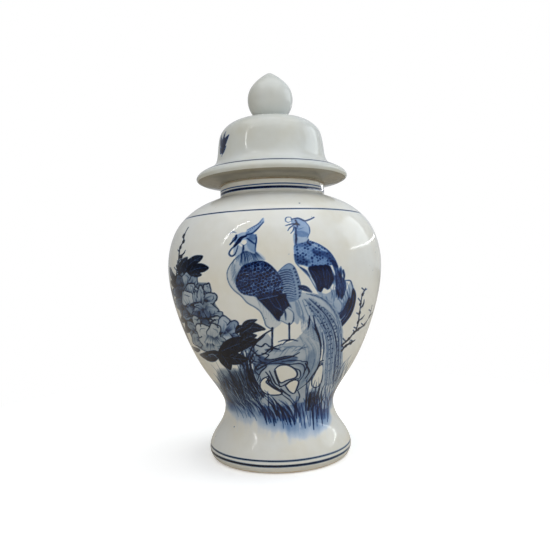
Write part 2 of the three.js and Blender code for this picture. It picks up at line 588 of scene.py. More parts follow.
def plumage(paint, outline, spacing, ink, blue, thin, loaded, gap, lean):
    """Small overlapping feathers inside an outline, in rows turned by lean. A share of them,
    loaded, is dark and the rest has only thin times the ink. A pale edge of about gap times
    their spacing is left round each."""
    where, cover, _, (x, y) = paint.inside(outline, 0.6)
    c, s = math.cos(lean), math.sin(lean)
    u = (x * c + y * s) / spacing
    v = (y * c - x * s) / (spacing * 0.85)
    chance = rng.uniform(0, 1, (3, 31, 31))
    nearest = np.full(x.shape, 9.0)
    second = np.full(x.shape, 9.0)
    load = np.zeros(x.shape)
    for j in (-1, 0, 1):
        row = np.floor(v) + j
        shift = 0.5 * (row % 2)
        for i in (-1, 0, 1):
            column = np.floor(u - shift) + i
            a, b = (row % 31).astype(int), (column % 31).astype(int)
            across = u - (column + shift + 0.5 + 0.5 * (chance[0, a, b] - 0.5))
            along = v - (row + 0.5 + 0.5 * (chance[1, a, b] - 0.5))
            away = np.hypot(across, along)
            closer = away < nearest
            second = np.where(closer, nearest, np.minimum(second, away))
            load = np.where(closer, chance[2, a, b], load)
            nearest = np.minimum(nearest, away)
    body = smoothstep(gap * 0.3, gap * 1.5, second - nearest)
    strength = np.where(load < loaded, 1.0, thin)
    paint.lay(where, ink * cover * body * strength * (1 + 0.15 * paint.grain[where]), blue)


def twig(paint, points, width, ink, blue, buds):
    """A knotty branch: the stroke thickens at each joint and carries a few buds."""
    paint.stroke(points, (width, width * 0.8, width * 0.5), ink, blue, dry=0.3)
    for p in points[1:-1]:
        paint.dot(jitter(p, 0.3), width * 1.35, ink, blue)
    line = curve_through(points)
    for i in range(buds):
        k = int((i + 0.6) / buds * (len(line) - 1))
        side = 1 if i % 2 else -1
        tip = line[k] + np.array([side * rng.uniform(2, 4), rng.uniform(2, 4.5)])
        paint.stroke([line[k], tip], (1.2, 2.4, 1.0), ink, blue, rounded=False)


def grass(paint, left, right, foot, rise, count, ink, blue, lean=0.0, width=1.5, ragged=3.5):
    """Blades that spring from the ground, some of them left pale between darker ones."""
    for k in range(count):
        x = rng.uniform(left, right)
        low = foot + rng.normal(0, ragged)
        tall = rise * rng.uniform(0.5, 1.15)
        bow = lean * tall + rng.normal(0, 0.14) * tall
        points = [(x, low), (x + bow * 0.35, low + tall * 0.55), (x + bow, low + tall)]
        size = width * rng.uniform(0.5, 1.4)
        if k % 4 == 3:
            paint.lift(points, size * 0.6, rng.uniform(0.35, 0.7), soft=0.6)
            continue
        tone = ink * rng.uniform(0.45, 1.1)
        hue = blue + rng.uniform(-0.1, 0.15)
        paint.stroke(points, (size * 0.6, size, size * 0.25), tone, hue, soft=0.5, dry=0.35)


def folds(paint, lines, width, ink, blue):
    """Brush lines of uneven weight that follow the shape of a rock or a root."""
    for line in lines:
        size = width * rng.uniform(0.8, 1.25)
        paint.stroke(line, (size * 0.6, size, size * 0.5), ink, blue, dry=0.35)


# ---- the painted scene --------------------------------------------------------------------

FAR_BODY = [(20, 238), (28, 240), (36, 241.5), (45, 237.5), (54, 231), (60, 223), (64, 214), (71, 201),
            (72, 194), (70, 186), (62, 180), (50, 184), (41, 191), (36, 203), (29, 212), (22, 220),
            (19, 229)]


def far_tail(p):
    """The pale feathers under the far bird's tail and the dark plume beside them."""
    pale = [(41, 192), (50, 189), (60, 193), (70, 188), (77, 200), (82, 187), (80, 172), (70, 157),
            (62, 168), (48, 182)]
    p.shape(pale, 0.22, 0.6)
    hanging = [(0, 0), (1.5, -5), (1, -11)]
    flecks(p, 22, (44, 76), (168, 196), hanging, (0.6, 1.2, 0.5), (0.12, 0.5), 0.6, soft=0.5, dry=0.4)
    for i in range(5):
        barb = [(73 - i * 2.4, 199 - i * 4), (76 - i * 2.2, 188 - i * 3), (72 - i * 2, 175 - i * 2),
                (64 - i, 166 + i)]
        p.stroke(barb, (0.6, 1.1, 0.6), 0.5, 0.6)
    p.wash([(79, 193), (83, 187), (82, 176), (77, 164), (66, 153), (63, 157), (71, 166), (76, 178)],
           0.93, 0.6, pool=0)
    p.wash([(73, 181), (76, 184), (76.5, 177), (72, 168), (66, 162), (64.5, 166), (69, 172)],
           0.8, 0.6, pool=0)
    p.stroke([(71, 201.5), (76.5, 200.8), (78.5, 196), (79.5, 191)], 1.3, 0.85, 0.55)
    p.lift([(80, 186), (79, 176), (73, 165), (66, 157)], 0.8, 0.55)


def far_head(p):
    """The far bird's neck, crested head, beak and wattles."""
    neck = [(20, 250), (27, 252), (34, 249), (34, 243.5), (37, 239), (28, 236), (20.5, 238), (19, 244)]
    p.shape(neck, 0.24, 0.7)
    fan(p, [(22, 248), (33, 247)], [(21, 238), (37, 239)], 20, 1.0, 0.4, 0.7)
    head = [(18, 262.5), (24, 265), (31, 262.8), (34, 257), (35, 251), (32, 246), (24, 246.5), (20.5, 251),
            (19, 256.5)]
    p.wash(head, 0.26, 0.85)
    p.stroke([(31.5, 261.5), (35, 256.5), (35.6, 250.5), (33, 245)], 1.1, 0.72, 0.7)
    p.stroke([(18, 264), (25, 265), (31, 262.2), (36, 263.4), (41, 265.8)], (1.0, 1.7, 1.3), 0.85, 0.7)
    p.stroke([(18.6, 262), (17.4, 265.8), (13.4, 266), (12, 262.8), (14.6, 260.8), (18, 262.2)],
             0.95, 0.8, 0.65)
    p.stroke([(20, 259.2), (16, 258.6), (12, 257.4)], (1.5, 1.2, 0.8), 0.8, 0.6)
    p.stroke([(19.4, 257.6), (16, 255.2), (14, 252.4)], (1.2, 1.1, 0.7), 0.75, 0.6)
    p.stroke([(20.4, 256), (19, 252.2), (16.8, 249.6)], (1.1, 1.0, 0.7), 0.7, 0.6)
    p.stroke([(20.4, 258.6), (23, 259.2), (25.8, 258)], (1.6, 2.5, 1.2), 1.0, 0.6)
    p.stroke([(21, 255.6), (25, 253.8), (30, 255.4)], 0.7, 0.5, 0.7)
    fan(p, [(22, 263), (32, 260)], [(24, 255), (34.6, 249)], 18, 0.7, 0.42, 0.8)
    fan(p, [(22, 255), (33, 252)], [(22, 248), (34, 245)], 14, 0.7, 0.36, 0.75)


def far_mantle(p):
    """The scaled, bright blue back of the far bird."""
    mantle = [(20, 238), (28, 240), (36, 241.5), (45, 237.5), (54, 231), (60, 223), (63, 215), (56, 217.5),
              (46, 216.5), (34, 216), (27, 218.5), (22, 220.5), (19.4, 229)]
    p.wash(mantle, 0.3, 0.9)
    plumage(p, mantle, 3.3, 0.66, 0.75, thin=0.25, loaded=0.6, gap=0.3, lean=-0.5)
    p.wash([(37, 233), (45, 231.5), (54, 230), (60, 222), (56, 221), (49, 226), (40, 228)],
           0.45, 0.75, soft=1.6)
    p.wash([(20, 228), (27, 226), (35, 221), (27, 218.5), (21, 221)], 0.42, 0.55, soft=1.6)
    p.lift([(38, 238), (44, 235.4), (52, 230.6)], 1.4, 0.55, soft=0.8)
    p.stroke([(36, 241.5), (45, 237.7), (54, 231.2), (60, 223), (63.5, 214.5)], 1.0, 0.8, 0.7)
    p.stroke([(34, 243), (33, 240), (36, 238)], 2.2, 0.75, 0.6)


def far_wing(p):
    """The far bird's dark folded wing, with pale lines between its feathers."""
    wing = [(33, 216), (44, 217.3), (54, 217), (57, 210), (58.4, 203), (55, 196), (52, 193.2), (48, 195),
            (45, 191), (41.4, 193), (39, 200), (35, 208)]
    p.wash(wing, 0.95, 0.62, pool=0, cloud=0.05)
    for i in range(6):
        gap = [jitter((36 + 3.4 * i, 213), 1.2), (40 + 2.8 * i, 206), jitter((43 + 2.2 * i, 198), 1.4)]
        p.lift(gap, 0.5, rng.uniform(0.55, 0.92))


def far_rump(p):
    """The brushed feathers that join the far bird's back to its tail."""
    rump = [(56, 222), (61, 220.5), (64, 213), (67, 206), (71, 201), (72, 195), (70, 188), (66, 183),
            (62.6, 186), (60.4, 194), (60, 203), (59.4, 211)]
    p.wash(rump, 0.66, 0.7, pool=0, cloud=0.35)
    hanging = [(0, 0), (1, -5), (0.6, -10)]
    flecks(p, 16, (57, 69), (192, 216), hanging, (1.2, 2.2, 0.8), (0.4, 0.9), 0.6, soft=0.6, dry=0.3)
    for i in range(4):
        p.lift([(61 + 2 * i, 214 - 5 * i), (63 + 1.8 * i, 202 - 4 * i), (64 + 1.2 * i, 190 - i)], 0.6, 0.6)
    p.stroke([(54.6, 216), (58.8, 207), (59, 199), (57, 192)], (0.6, 0.9, 0.5), 0.55, 0.7)
    p.stroke([(19.4, 229), (20.6, 221), (27, 213.6), (33, 207), (38, 198), (41.4, 192)], (0.8, 1.1, 0.9),
             0.6, 0.6)
    p.stroke([(25, 216), (30, 212.5), (34, 207)], (1.2, 2.0, 0.8), 0.7, 0.6)


def far_bird(p):
    """The bird behind, whose body is the bluest part of the painting."""
    p.wipe(FAR_BODY)
    far_tail(p)
    far_head(p)
    far_mantle(p)
    far_wing(p)
    far_rump(p)


TAIL_LINES = [
    [(30, 190), (42, 187), (52, 180), (60, 169), (65, 156), (67, 140), (67, 116), (68, 92)],
    [(34, 189), (46, 184), (55, 175), (61, 164), (64, 148), (64, 126), (65, 98)],
    [(33, 185), (42, 176), (50, 167), (55.5, 157), (59.5, 145), (61.5, 130), (61, 112), (60, 86)],
    [(29, 184), (36, 172), (43, 160), (49, 147), (51, 130), (50, 112), (50, 88)],
    [(26, 184), (31, 170), (37, 158), (43, 145), (46, 132)],
    [(22, 184), (26, 172), (27, 160)],
]
QUILL = TAIL_LINES[2]  # the strongest line, with the rows of spots beside it


def long_tail(p):
    """The near bird's spotted train, which falls in front of the rock to the ground."""
    train = [(20, 190), (34, 190.5), (44, 187.5), (54, 180), (62, 169), (67, 156), (69, 140), (69.5, 120),
             (71, 100), (71, 82), (62, 60), (48, 58), (44, 76), (47, 96), (47, 112), (48, 126), (46, 140),
             (40, 152), (32, 160), (26, 164), (20, 172)]
    p.shape(train, 0.15, 0.45, pool=0.5)
    centre = [(32, 186), (41, 180), (50, 169), (56, 156), (59, 140), (60.5, 120), (60, 92), (51, 88),
              (51, 115), (51, 134), (48, 148), (42, 159), (34, 170)]
    p.wash(centre, 0.08, 0.5, soft=1.5)
    for line in TAIL_LINES:
        breadth, ink = (1.1, 0.8) if line is QUILL else (0.8, 0.5)
        p.stroke(line, (0.6, breadth, 0.7), ink, 0.5, dry=0.3)
    barbs(p, QUILL, 5.0, 30, 0.6, 0.26, 0.5, slant=1.6)
    barbs(p, TAIL_LINES[0], 3.6, 26, 0.6, 0.24, 0.5, slant=2.0)
    barbs(p, TAIL_LINES[3], 4.2, 22, 0.6, 0.26, 0.5, slant=1.8)
    for _ in range(18):
        shift = rng.uniform(-9, 7)
        line = [(x + shift + rng.normal(0, 0.6), z) for x, z in QUILL[rng.integers(0, 3) :]]
        breadth = rng.uniform(0.5, 0.8)
        p.stroke(line, (0.4, breadth, 0.4), rng.uniform(0.15, 0.6), 0.4, dry=0.5)
    for shift in (-7.5, -4.2, 2.2):
        spots = curve_through(QUILL) + np.array([shift, shift * 0.3])
        for spot in spots[3::2]:
            p.dot(jitter(spot, 0.5), rng.uniform(0.9, 1.7), 0.85, 0.5, soft=0.3)
    for i in range(16):
        t = i / 15
        line = [(24 + 19 * t, 168 - 14 * t + rng.normal(0, 2)), (25 + 21 * t, 152 - 16 * t)]
        p.stroke(line, (0.6, 1.0, 0.3), rng.uniform(0.2, 0.7), 0.45)
    p.stroke([(33, 168), (32.4, 161), (31, 154)], (0.8, 2.4, 0.6), 0.9, 0.45)
    p.stroke([(36.6, 168), (39, 156), (43, 145), (45, 135)], (0.9, 2.0, 0.8), 0.88, 0.45)
    p.stroke([(45.6, 150), (47.6, 134), (46.4, 120)], (0.8, 1.6, 0.8), 0.8, 0.45)


def back_fan(p):
    """Pale barred feathers that stand up behind the near bird's wing."""
    shape = [(2, 211), (8, 217), (14, 220), (19, 216.5), (22.4, 208), (24.4, 200), (25.2, 192), (23, 186),
             (17, 183), (9, 184), (7, 195), (5, 204)]
    p.shape(shape, 0.3, 0.6)
    for i in range(13):
        z = 185.5 + 2.3 * i
        bar = [(5, z), (12, z + 1.3), (20.5 - 0.3 * i, z - 0.6)]
        p.stroke(bar, (1.3, 1.1, 0.4), rng.uniform(0.45, 0.7), 0.5)
    for i in range(9):
        t = i / 8
        p.dot((23.5 - 5 * t**2, 188 + 27 * t), 1.7, 0.7, 0.5)
        p.dot((19.5 - 5 * t**2, 190 + 24 * t), 1.3, 0.6, 0.5)
    p.stroke([(2, 211), (8, 217), (14, 220), (19, 216.5), (22.4, 208), (24.6, 200), (25.2, 192),
              (22, 185.4)], 0.8, 0.6, 0.5)
    leaf(p, (22, 197.6), (36, 191), 5.0, 0.9, 0.55, bend=0.06)
    under = [(9, 186), (20, 183), (24, 172), (21, 160), (16, 166), (12, 176)]
    p.wash(under, 0.2, 0.45)
    fan(p, [(10, 185), (22, 184)], [(17, 162), (28, 160)], 18, 1.1, 0.45, 0.5)


def near_breast(p):
    """The near bird's pale breast and the soft ruff of feathers round its neck."""
    breast = [(-38, 228), (-44, 220), (-47, 212), (-45.6, 203), (-41, 196), (-34, 190), (-28, 183),
              (-20, 178), (-15, 173), (-12, 165), (-10, 159), (-5, 155.6), (0, 158), (5, 163), (6, 175),
              (8, 190), (6, 204), (-2, 217), (-14, 224), (-20, 232), (-34, 236)]
    p.shape(breast, 0.1, 0.3, pool=0.4)
    p.wash([(-43, 216), (-38, 222), (-34, 216), (-38, 204), (-42, 206)], 0.13, 0.35, soft=2)
    p.stroke([(-37, 228), (-44, 220), (-47.2, 212), (-45.6, 203), (-41, 196), (-34, 190), (-28, 183),
              (-20, 178), (-15, 173), (-12, 165), (-10.4, 159.6),
              (-5, 155.8)], (0.9, 1.0, 1.0), 0.62, 0.3, soft=0.3)
    fan(p, [(-40, 226), (-38, 212), (-38, 200)], [(-44, 214), (-42, 203), (-34, 192)], 22, 0.7, 0.2, 0.35)
    fan(p, [(-20, 188), (-8, 180), (2, 172)], [(-16, 178), (-8, 166), (0, 160)], 14, 0.7, 0.16, 0.3)
    ruff_base, ruff_tips = [(-34, 233), (-27, 236), (-18, 233)], [(-38, 222), (-28, 217), (-17, 219),
                                                                  (-7, 225)]
    p.wash([(-34, 234), (-19, 234), (-9, 226), (-12, 222), (-22, 219), (-33, 219), (-35, 224)],
           0.14, 0.55, soft=1.2)
    fan(p, ruff_base, ruff_tips, 44, 0.8, 0.26, 0.5)
    fan(p, ruff_base, ruff_tips, 22, 0.7, 0.5, 0.5)


def near_mantle(p):
    """The near bird's back and shoulder, covered in small dark scales."""
    mantle = [(-31, 219.6), (-22, 222.4), (-12, 223), (-5, 219.4), (1, 213.4), (5, 207), (7.4, 200),
              (7, 193), (2, 189),
            (-6, 188), (-16, 188.4), (-25, 190), (-33, 192.4), (-38, 199), (-38.4, 206), (-35, 214)]
    p.wash(mantle, 0.4, 0.8, pool=0.1)
    plumage(p, mantle, 3.7, 0.98, 0.65, thin=0.7, loaded=0.8, gap=0.17, lean=0.3)
    p.wash([(-37, 200), (-35, 213), (-27, 218), (-20, 212), (-24, 200), (-28, 194)], 0.35, 0.4, soft=3)
    for _ in range(70):
        x, z = rng.uniform(-35, 3), rng.uniform(192, 219)
        glint = [(x, z), jitter((x + 1.4, z - 0.8), 0.7), jitter((x + 2.6, z + 0.4), 0.7)]
        p.lift(glint, 0.5, rng.uniform(0.45, 0.75), soft=0.35)
    p.stroke([(-22, 222.4), (-12, 223), (-5, 219.4), (1, 213.4), (5, 207)], 1.3, 0.9, 0.6)


def near_wing(p):
    """The near bird's long folded feathers, dark with pale lines between them."""
    secondaries = [(-16, 190), (-6, 191), (4, 194), (9, 189), (8, 182), (0, 178), (-10, 180)]
    p.wash(secondaries, 0.45, 0.7, pool=0)
    for i in range(9):
        feather = [(-17 + 2.4 * i, 191 + 0.3 * i), (-11 + 2.2 * i, 186), (-6 + 1.8 * i, 178)]
        p.stroke(feather, (1.3, 1.6, 0.8), 0.85, 0.55)
        p.lift([(-16 + 2.4 * i, 190.5), (-10 + 2.2 * i, 185), (-5 + 1.8 * i, 178)], 0.5, 0.62)
    flight = [(-19, 189), (-12, 180), (-5, 172), (0, 165.4), (3.4, 164), (4.4, 168.6), (9, 170), (7.4, 174),
              (12, 177), (9.6, 183), (10.4, 190), (4, 191), (-8, 188)]
    p.wash(flight, 0.94, 0.55, pool=0, cloud=0.05)
    for i in range(7):
        gap = [jitter((-14 + 3.6 * i, 187), 0.8), (-7 + 2.8 * i, 179),
               jitter((-1 + 1.7 * i, 170 + 1.6 * i), 1.5)]
        p.lift(gap, 0.5, rng.uniform(0.5, 0.92))
    p.lift([(-16, 186), (-8, 187.5), (2, 189.5)], 0.9, 0.55)


def near_legs(p):
    """The near bird's feathered thigh and the two thin legs it stands on the rock with."""
    thigh = [(5, 168), (12, 178), (17, 172), (16.4, 164), (12.4, 160.4), (4, 164)]
    p.shape(thigh, 0.14, 0.4)
    p.stroke([(11, 177), (16.6, 172), (16.4, 164), (12.6, 160), (4, 164.6)], 1.0, 0.66, 0.4)
    fan(p, [(8, 175), (15, 174)], [(9, 165), (15, 164)], 8, 0.8, 0.4, 0.4)
    leg(p, (-4.4, 157), (-5.4, 136), 2.0, [(-13, 130), (-9, 138), (3, 133.6)])
    leg(p, (12.4, 161), (12.2, 144), 1.8, [(1, 142.6), (5, 139.4), (20.6, 142.4)])


def leg(p, knee, ankle, width, toes):
    """A bird's shank and its spread toes."""
    shank = [knee, between(knee, ankle, 0.5), ankle]
    p.stroke(shank, (width * 1.1, width * 0.85, width), 0.9, 0.4, dry=0.25)
    for toe in toes:
        x, z = between(ankle, toe, 0.5)
        p.stroke([ankle, (x, z + 0.8), toe], (width * 0.8, width * 0.7, 0.7), 0.88, 0.4)


def near_head(p):
    """The near bird's throat, masked face, hooked beak and long wattles."""
    throat = [(-38, 242), (-30, 238), (-22, 250), (-17, 247), (-17.6, 238), (-19, 231), (-28, 234),
              (-37, 229), (-40, 232)]
    p.shape(throat, 0.16, 0.55)
    p.wash([(-26, 250), (-17, 248), (-17.8, 238), (-19, 232), (-25, 236), (-27, 244)], 0.2, 0.7, soft=1.2)
    fan(p, [(-30, 240), (-19, 241)], [(-31, 231), (-19, 231)], 18, 0.7, 0.34, 0.6)
    p.stroke([(-17.4, 249.6), (-16.8, 245), (-18, 238), (-18.6, 231.6)], 1.5, 0.8, 0.65)
    head = [(-40, 245), (-37, 249.6), (-30, 252.4), (-22, 251.4), (-17, 248.6), (-19, 244), (-26, 245.6),
            (-31, 243), (-36, 241)]
    p.wash(head, 0.24, 0.75)
    fan(p, [(-37, 250), (-26, 252)], [(-38, 244), (-22, 246)], 16, 0.8, 0.42, 0.7)
    p.stroke([(-39, 239), (-34.6, 243.6), (-31.6, 247), (-27, 248.6)], (2.2, 4.2, 1.6), 0.92, 0.65)
    p.stroke([(-26, 246), (-22, 243), (-19, 240.5)], (1.2, 1.8, 1.0), 0.75, 0.7)
    eye = [(-32.4, 242), (-30.6, 244.6), (-27.6, 244.4), (-26.6, 241.8), (-28.6, 239.8), (-31.4, 240)]
    p.wipe(eye, soft=0.4)
    p.stroke([(-32.6, 241.4), (-29.4, 239.4), (-26.4, 241.2)], 0.7, 0.55, 0.5)
    p.stroke([(-36.4, 247.4), (-39.6, 244.6), (-43.2, 241)], (1.4, 1.7, 1.5), 0.92, 0.4)
    p.stroke([(-36, 249.4), (-39.8, 246.8), (-41.4, 244)], 0.8, 0.7, 0.45)
    p.stroke([(-43.4, 251.6), (-41.4, 253.2), (-38.6, 253.2), (-36.8, 252.2)], 0.9, 0.72, 0.4)
    p.stroke([(-36.6, 240.4), (-42, 236.4), (-44.4, 232), (-42, 229.4), (-38.6, 231), (-36.4, 235.6),
              (-35.4, 239)], (1.4, 1.8, 1.0), 0.72, 0.45)


def near_crest(p):
    """The swept back crest on the near bird's head, with a row of spots."""
    crest = [(-27, 250), (-22, 251), (-16, 255), (-9.4, 261.6), (-10, 266.4), (-15, 260.6), (-20, 257.8),
             (-26, 254.4)]
    p.wash(crest, 0.26, 0.75)
    p.stroke([(-26, 254.6), (-20, 257.6), (-15, 260.4), (-9.8, 266)], 0.8, 0.6, 0.6)
    p.stroke([(-27, 249.6), (-21, 251), (-16, 255), (-9.4, 262)], (1.2, 1.7, 0.9), 0.72, 0.7)
    for i in range(7):
        p.dot((-24.6 + 2.0 * i, 252.8 + 1.5 * i), 0.9, 0.6, 0.6)


def near_bird(p):
    """The bird in front, its dark scaled wing the strongest accent of the painting."""
    near_breast(p)
    near_mantle(p)
    near_wing(p)
    near_legs(p)
    near_head(p)
    near_crest(p)


ROCK_EDGES = [
    [(-39, 112), (-39, 126), (-34, 136), (-25, 141), (-24, 132), (-27, 124)],
    [(-24, 138), (-18, 146), (-11, 152), (-6, 155)],
    [(-22, 128), (-14, 130), (-6, 136), (4, 140)],
    [(-16, 131), (-9, 129), (-13, 124), (-4, 124), (10, 127), (20, 125)],
    [(-12, 134), (-5, 135), (-9, 131)],
    [(36, 157), (40, 150), (43.6, 139), (44.4, 128), (43, 117)],
    [(43, 117), (39.6, 108), (34, 98), (26, 91), (19, 86)],
    [(-10, 119), (0, 119.5), (12, 117.6), (22, 118), (27, 114), (26.5, 105), (22, 98)],
    [(24, 120), (30, 119), (29, 112), (26, 106)],
    [(4, 121), (14, 122), (24, 121)],
    [(-31, 118), (-29, 106), (-24, 96), (-21, 86), (-16, 80)],
    [(-36, 128), (-31, 122), (-33, 110), (-30, 98)],
    [(-20, 124), (-12, 117), (-18, 110), (-22, 100)],
    [(0, 86), (6, 80), (12, 74), (16, 66)],
    [(20, 86), (22, 78), (18, 70)],
    [(-22, 140), (-16, 138), (-12, 141), (-8, 138)],
    [(-20, 134), (-26, 128), (-24, 122), (-14, 121)],
    [(-8, 121), (4, 124), (14, 126), (22, 130)],
    [(-28, 136), (-22, 130), (-18, 126)],
    [(17, 113), (22, 110), (23, 104), (20, 99)],
    [(-22, 112), (-16, 116), (-10, 119)],
    [(-20, 106), (-24, 112), (-20, 118), (-12, 121)],
    [(28, 118), (32, 108), (28, 100)],
    [(-35, 100), (-30, 90), (-26, 80)],
]
ROCK_HOLES = [
    [(-3.4, 113), (1, 116.6), (8, 117.4), (15, 114), (19.4, 108), (18, 102.4), (9, 99.6), (2, 97),
     (-1.4, 104)],
    [(-19.4, 97), (-16, 102), (-10, 104.6), (-11, 99), (-5, 91.6), (2, 87.4), (2.4, 83), (-6, 82),
     (-14, 84), (-19, 90)],
    [(7, 93), (11, 97), (17, 99.4), (21, 97), (19.4, 90), (16, 83), (11, 86)],
    [(35, 97), (38, 104), (42, 112), (47, 114), (47.4, 103), (45, 91), (40, 87), (35.6, 90)],
]
TWISTED_ROOTS = [
    [(-13, 110), (-9, 104), (-7, 97), (-2, 91), (4, 86)],
    [(-9, 111), (-6, 103), (-3, 96), (3, 92)],
    [(-4, 111), (-2, 104), (0, 97), (1, 92)],
    [(-11, 101), (-13, 98), (-9, 94), (-3, 89), (3, 85)],
    [(-12, 102.5), (-9.6, 100), (-11.4, 97)],
    [(1, 92), (6, 94), (13, 98.6), (20, 101)],
    [(2, 90), (7, 84), (12, 80)],
    [(31, 96), (36, 103), (41, 110), (44, 116), (51, 115.4)],
    [(43, 117), (46, 118.6), (50, 118)],
]


def rock_shading(p):
    """The washes and loose strokes that give the rock its form."""
    whole = [(-39, 110), (-39.4, 125), (-34, 136), (-25, 141), (-18, 147), (-11, 152), (-6, 146), (-4, 138),
             (4, 140), (14, 142), (22, 147), (29, 155), (34, 159), (39, 151), (43, 140), (44, 128),
             (43, 118), (40, 108), (34, 98), (32, 86), (34, 74), (18, 70), (0, 68), (-20, 70), (-40, 78),
             (-46, 94)]
    p.shape(whole, 0.2, 0.3, pool=0.4)
    p.wash([(-40, 84), (-22, 78), (-20, 92), (-22, 104), (-14, 114), (-8, 122), (-20, 130), (-27, 140),
            (-37, 130), (-42, 104)], 0.3, 0.42, soft=2)
    p.wash([(10, 122), (26, 121), (36, 132), (40, 118), (34, 104), (26, 94), (18, 84), (24, 104),
            (22, 114)], 0.12, 0.4, soft=3)
    p.wash([(-18, 128), (-6, 124), (8, 127), (20, 124), (12, 119), (-6, 118), (-18, 120)],
           0.4, 0.5, soft=1.6)
    for i in range(9):
        t = i / 8
        line = [(-37 + 12 * t, 133 - 3 * t), (-33 + 6 * t, 118), (-31 + 6 * t, 104), (-27 + 7 * t, 92),
                (-22 + 9 * t, 80)]
        fold = [jitter(q, 0.8) for q in line]
        p.stroke(fold, (0.9, 2.0, 1.0), rng.uniform(0.6, 0.97), 0.35, soft=0.4, dry=0.4)
        edge = [jitter((x + 1.4, z), 0.7) for x, z in line]
        p.lift(edge, 1.1, rng.uniform(0.15, 0.45), soft=0.5)
    for _ in range(40):
        x, z = rng.uniform(-40, -18), rng.uniform(84, 132)
        tall = rng.uniform(4, 10)
        line = [(x, z), (x + rng.normal(0, 2), z - tall * 0.5), (x + rng.normal(2, 2), z - tall)]
        p.stroke(line, (0.8, 1.8, 0.7), rng.uniform(0.4, 0.95), 0.3, soft=0.5, dry=0.4)
    for i in range(8):
        t = i / 7
        line = [(20 + 16 * t, 148 - 4 * t), (30 + 12 * t, 132), (28 + 12 * t, 114), (20 + 12 * t, 96)]
        fold = [jitter(q, 1.2) for q in line]
        p.stroke(fold, (0.5, 1.1, 0.5), rng.uniform(0.06, 0.24), 0.35, soft=0.7, dry=0.5)
    for _ in range(12):
        x = rng.uniform(-14, 18)
        line = [(x, 133 + rng.normal(0, 3)), (x + 7, 135 + rng.normal(0, 2)),
                (x + 13, 136 + rng.normal(0, 3))]
        p.stroke(line, (0.5, 1.0, 0.5), rng.uniform(0.2, 0.5), 0.35, soft=0.6, dry=0.4)


def rock(p):
    """A weathered garden rock with holes worn through it, and the twisted root that grows there."""
    rock_shading(p)
    folds(p, ROCK_EDGES, 1.5, 0.97, 0.3)
    for hole in ROCK_HOLES:
        p.wipe(hole, soft=0.6)
        p.stroke(hole + hole[:1], (1.2, 1.9, 1.2), 0.9, 0.4, dry=0.3)
    for root in TWISTED_ROOTS:
        p.stroke(root, (1.1, 1.9, 1.0), 0.95, 0.35, dry=0.2)


# Each petal has its place, length, the way it faces, its breadth as a share and its ink.
UPPER_FLOWER = [
    (-101, 206, 7, 130, 0.9, 0.42),
    (-92, 208, 7, 90, 0.85, 0.34),
    (-84, 206, 5.5, 60, 0.9, 0.4),
    (-105, 194, 9, 170, 0.8, 0.5),
    (-104, 182, 8, 190, 0.9, 0.48),
    (-88, 198, 6.5, 70, 0.8, 0.34),
    (-93, 187, 9.5, 110, 0.85, 0.2),
    (-69.5, 197, 6.5, 75, 0.65, 0.26),
    (-66, 188, 7, 15, 0.9, 0.34),
    (-81.5, 190, 9, 95, 0.5, 0.28),
    (-76.5, 192, 9, 85, 0.45, 0.3),
    (-66, 175, 8, -25, 0.85, 0.3),
    (-58.5, 170, 5.5, -10, 0.9, 0.34),
    (-80, 178, 6.5, 150, 0.9, 0.36),
    (-90, 177, 6, 220, 1.0, 0.46),
    (-73, 172, 5.5, 280, 1.1, 0.42),
    (-83, 170, 6, 240, 0.9, 0.44),
    (-97, 169, 6, 210, 1.1, 0.36),
]
LOWER_FLOWER = [
    (-90, 157, 9, 150, 0.55, 0.45),
    (-84, 162, 8.5, 105, 0.55, 0.28),
    (-62, 163, 7, 100, 1.0, 0.26),
    (-53, 160, 9.5, 75, 0.8, 0.2),
    (-45, 158, 8, 35, 0.75, 0.3),
    (-43.5, 147, 6.5, -15, 0.8, 0.36),
    (-86, 142, 8, 205, 1.0, 0.34),
    (-75, 151, 12, 150, 0.8, 0.15),
    (-65, 151, 11, 75, 0.7, 0.17),
    (-50, 147, 6.5, -60, 0.75, 0.2),
    (-72, 141, 9, 250, 1.2, 0.19),
    (-60, 141, 8, 300, 0.95, 0.22),
    (-71, 134.5, 5.5, 265, 1.9, 0.3),
    (-51, 138, 5, 300, 1.6, 0.3),
]
# Each near-black gap between petals has its place and breadth.
FLOWER_HEARTS = [
    (-73, 187, 3.4), (-71.6, 193, 2.2), (-84, 195, 3), (-87, 181, 3), (-97, 196, 2.4), (-99, 176, 4),
    (-72, 166, 4.4), (-65, 165, 4), (-78, 168, 3), (-58, 151, 2), (-61, 158, 2), (-55, 142, 1.8),
    (-79, 161, 3.2), (-90, 168, 3.6),
]
# Each leaf has where it starts, where it ends and its breadth.
LEAVES_BEHIND = [
    ((-102, 214), (-90, 231), 10),
    ((-96, 214), (-72, 231), 13),
    ((-94, 212), (-66, 219), 14),
    ((-92, 210), (-74, 212), 8),
    ((-106, 206), (-117, 222), 9),
    ((-104, 202), (-117, 206), 9),
    ((-98, 172), (-108, 160), 10),
    ((-96, 168), (-100, 148), 13),
    ((-92, 166), (-90, 150), 9),
]
# The leaves in front bend as well.
LEAVES_BEFORE = [
    ((-38, 150), (-11, 156), 12, 0.18),
    ((-36, 154), (-19, 166), 7, 0.12),
    ((-42, 152), (-30, 158), 7, 0.2),
    ((-62, 130), (-18, 145), 17, 0.06),
    ((-58, 128), (-30, 124), 15, -0.05),
    ((-60, 130), (-50, 111), 14, 0.05),
    ((-60, 130), (-86, 124), 13, 0.1),
    ((-38, 142), (-20, 150), 10, 0.1),
    ((-84, 130), (-98, 132), 6, 0.1),
]


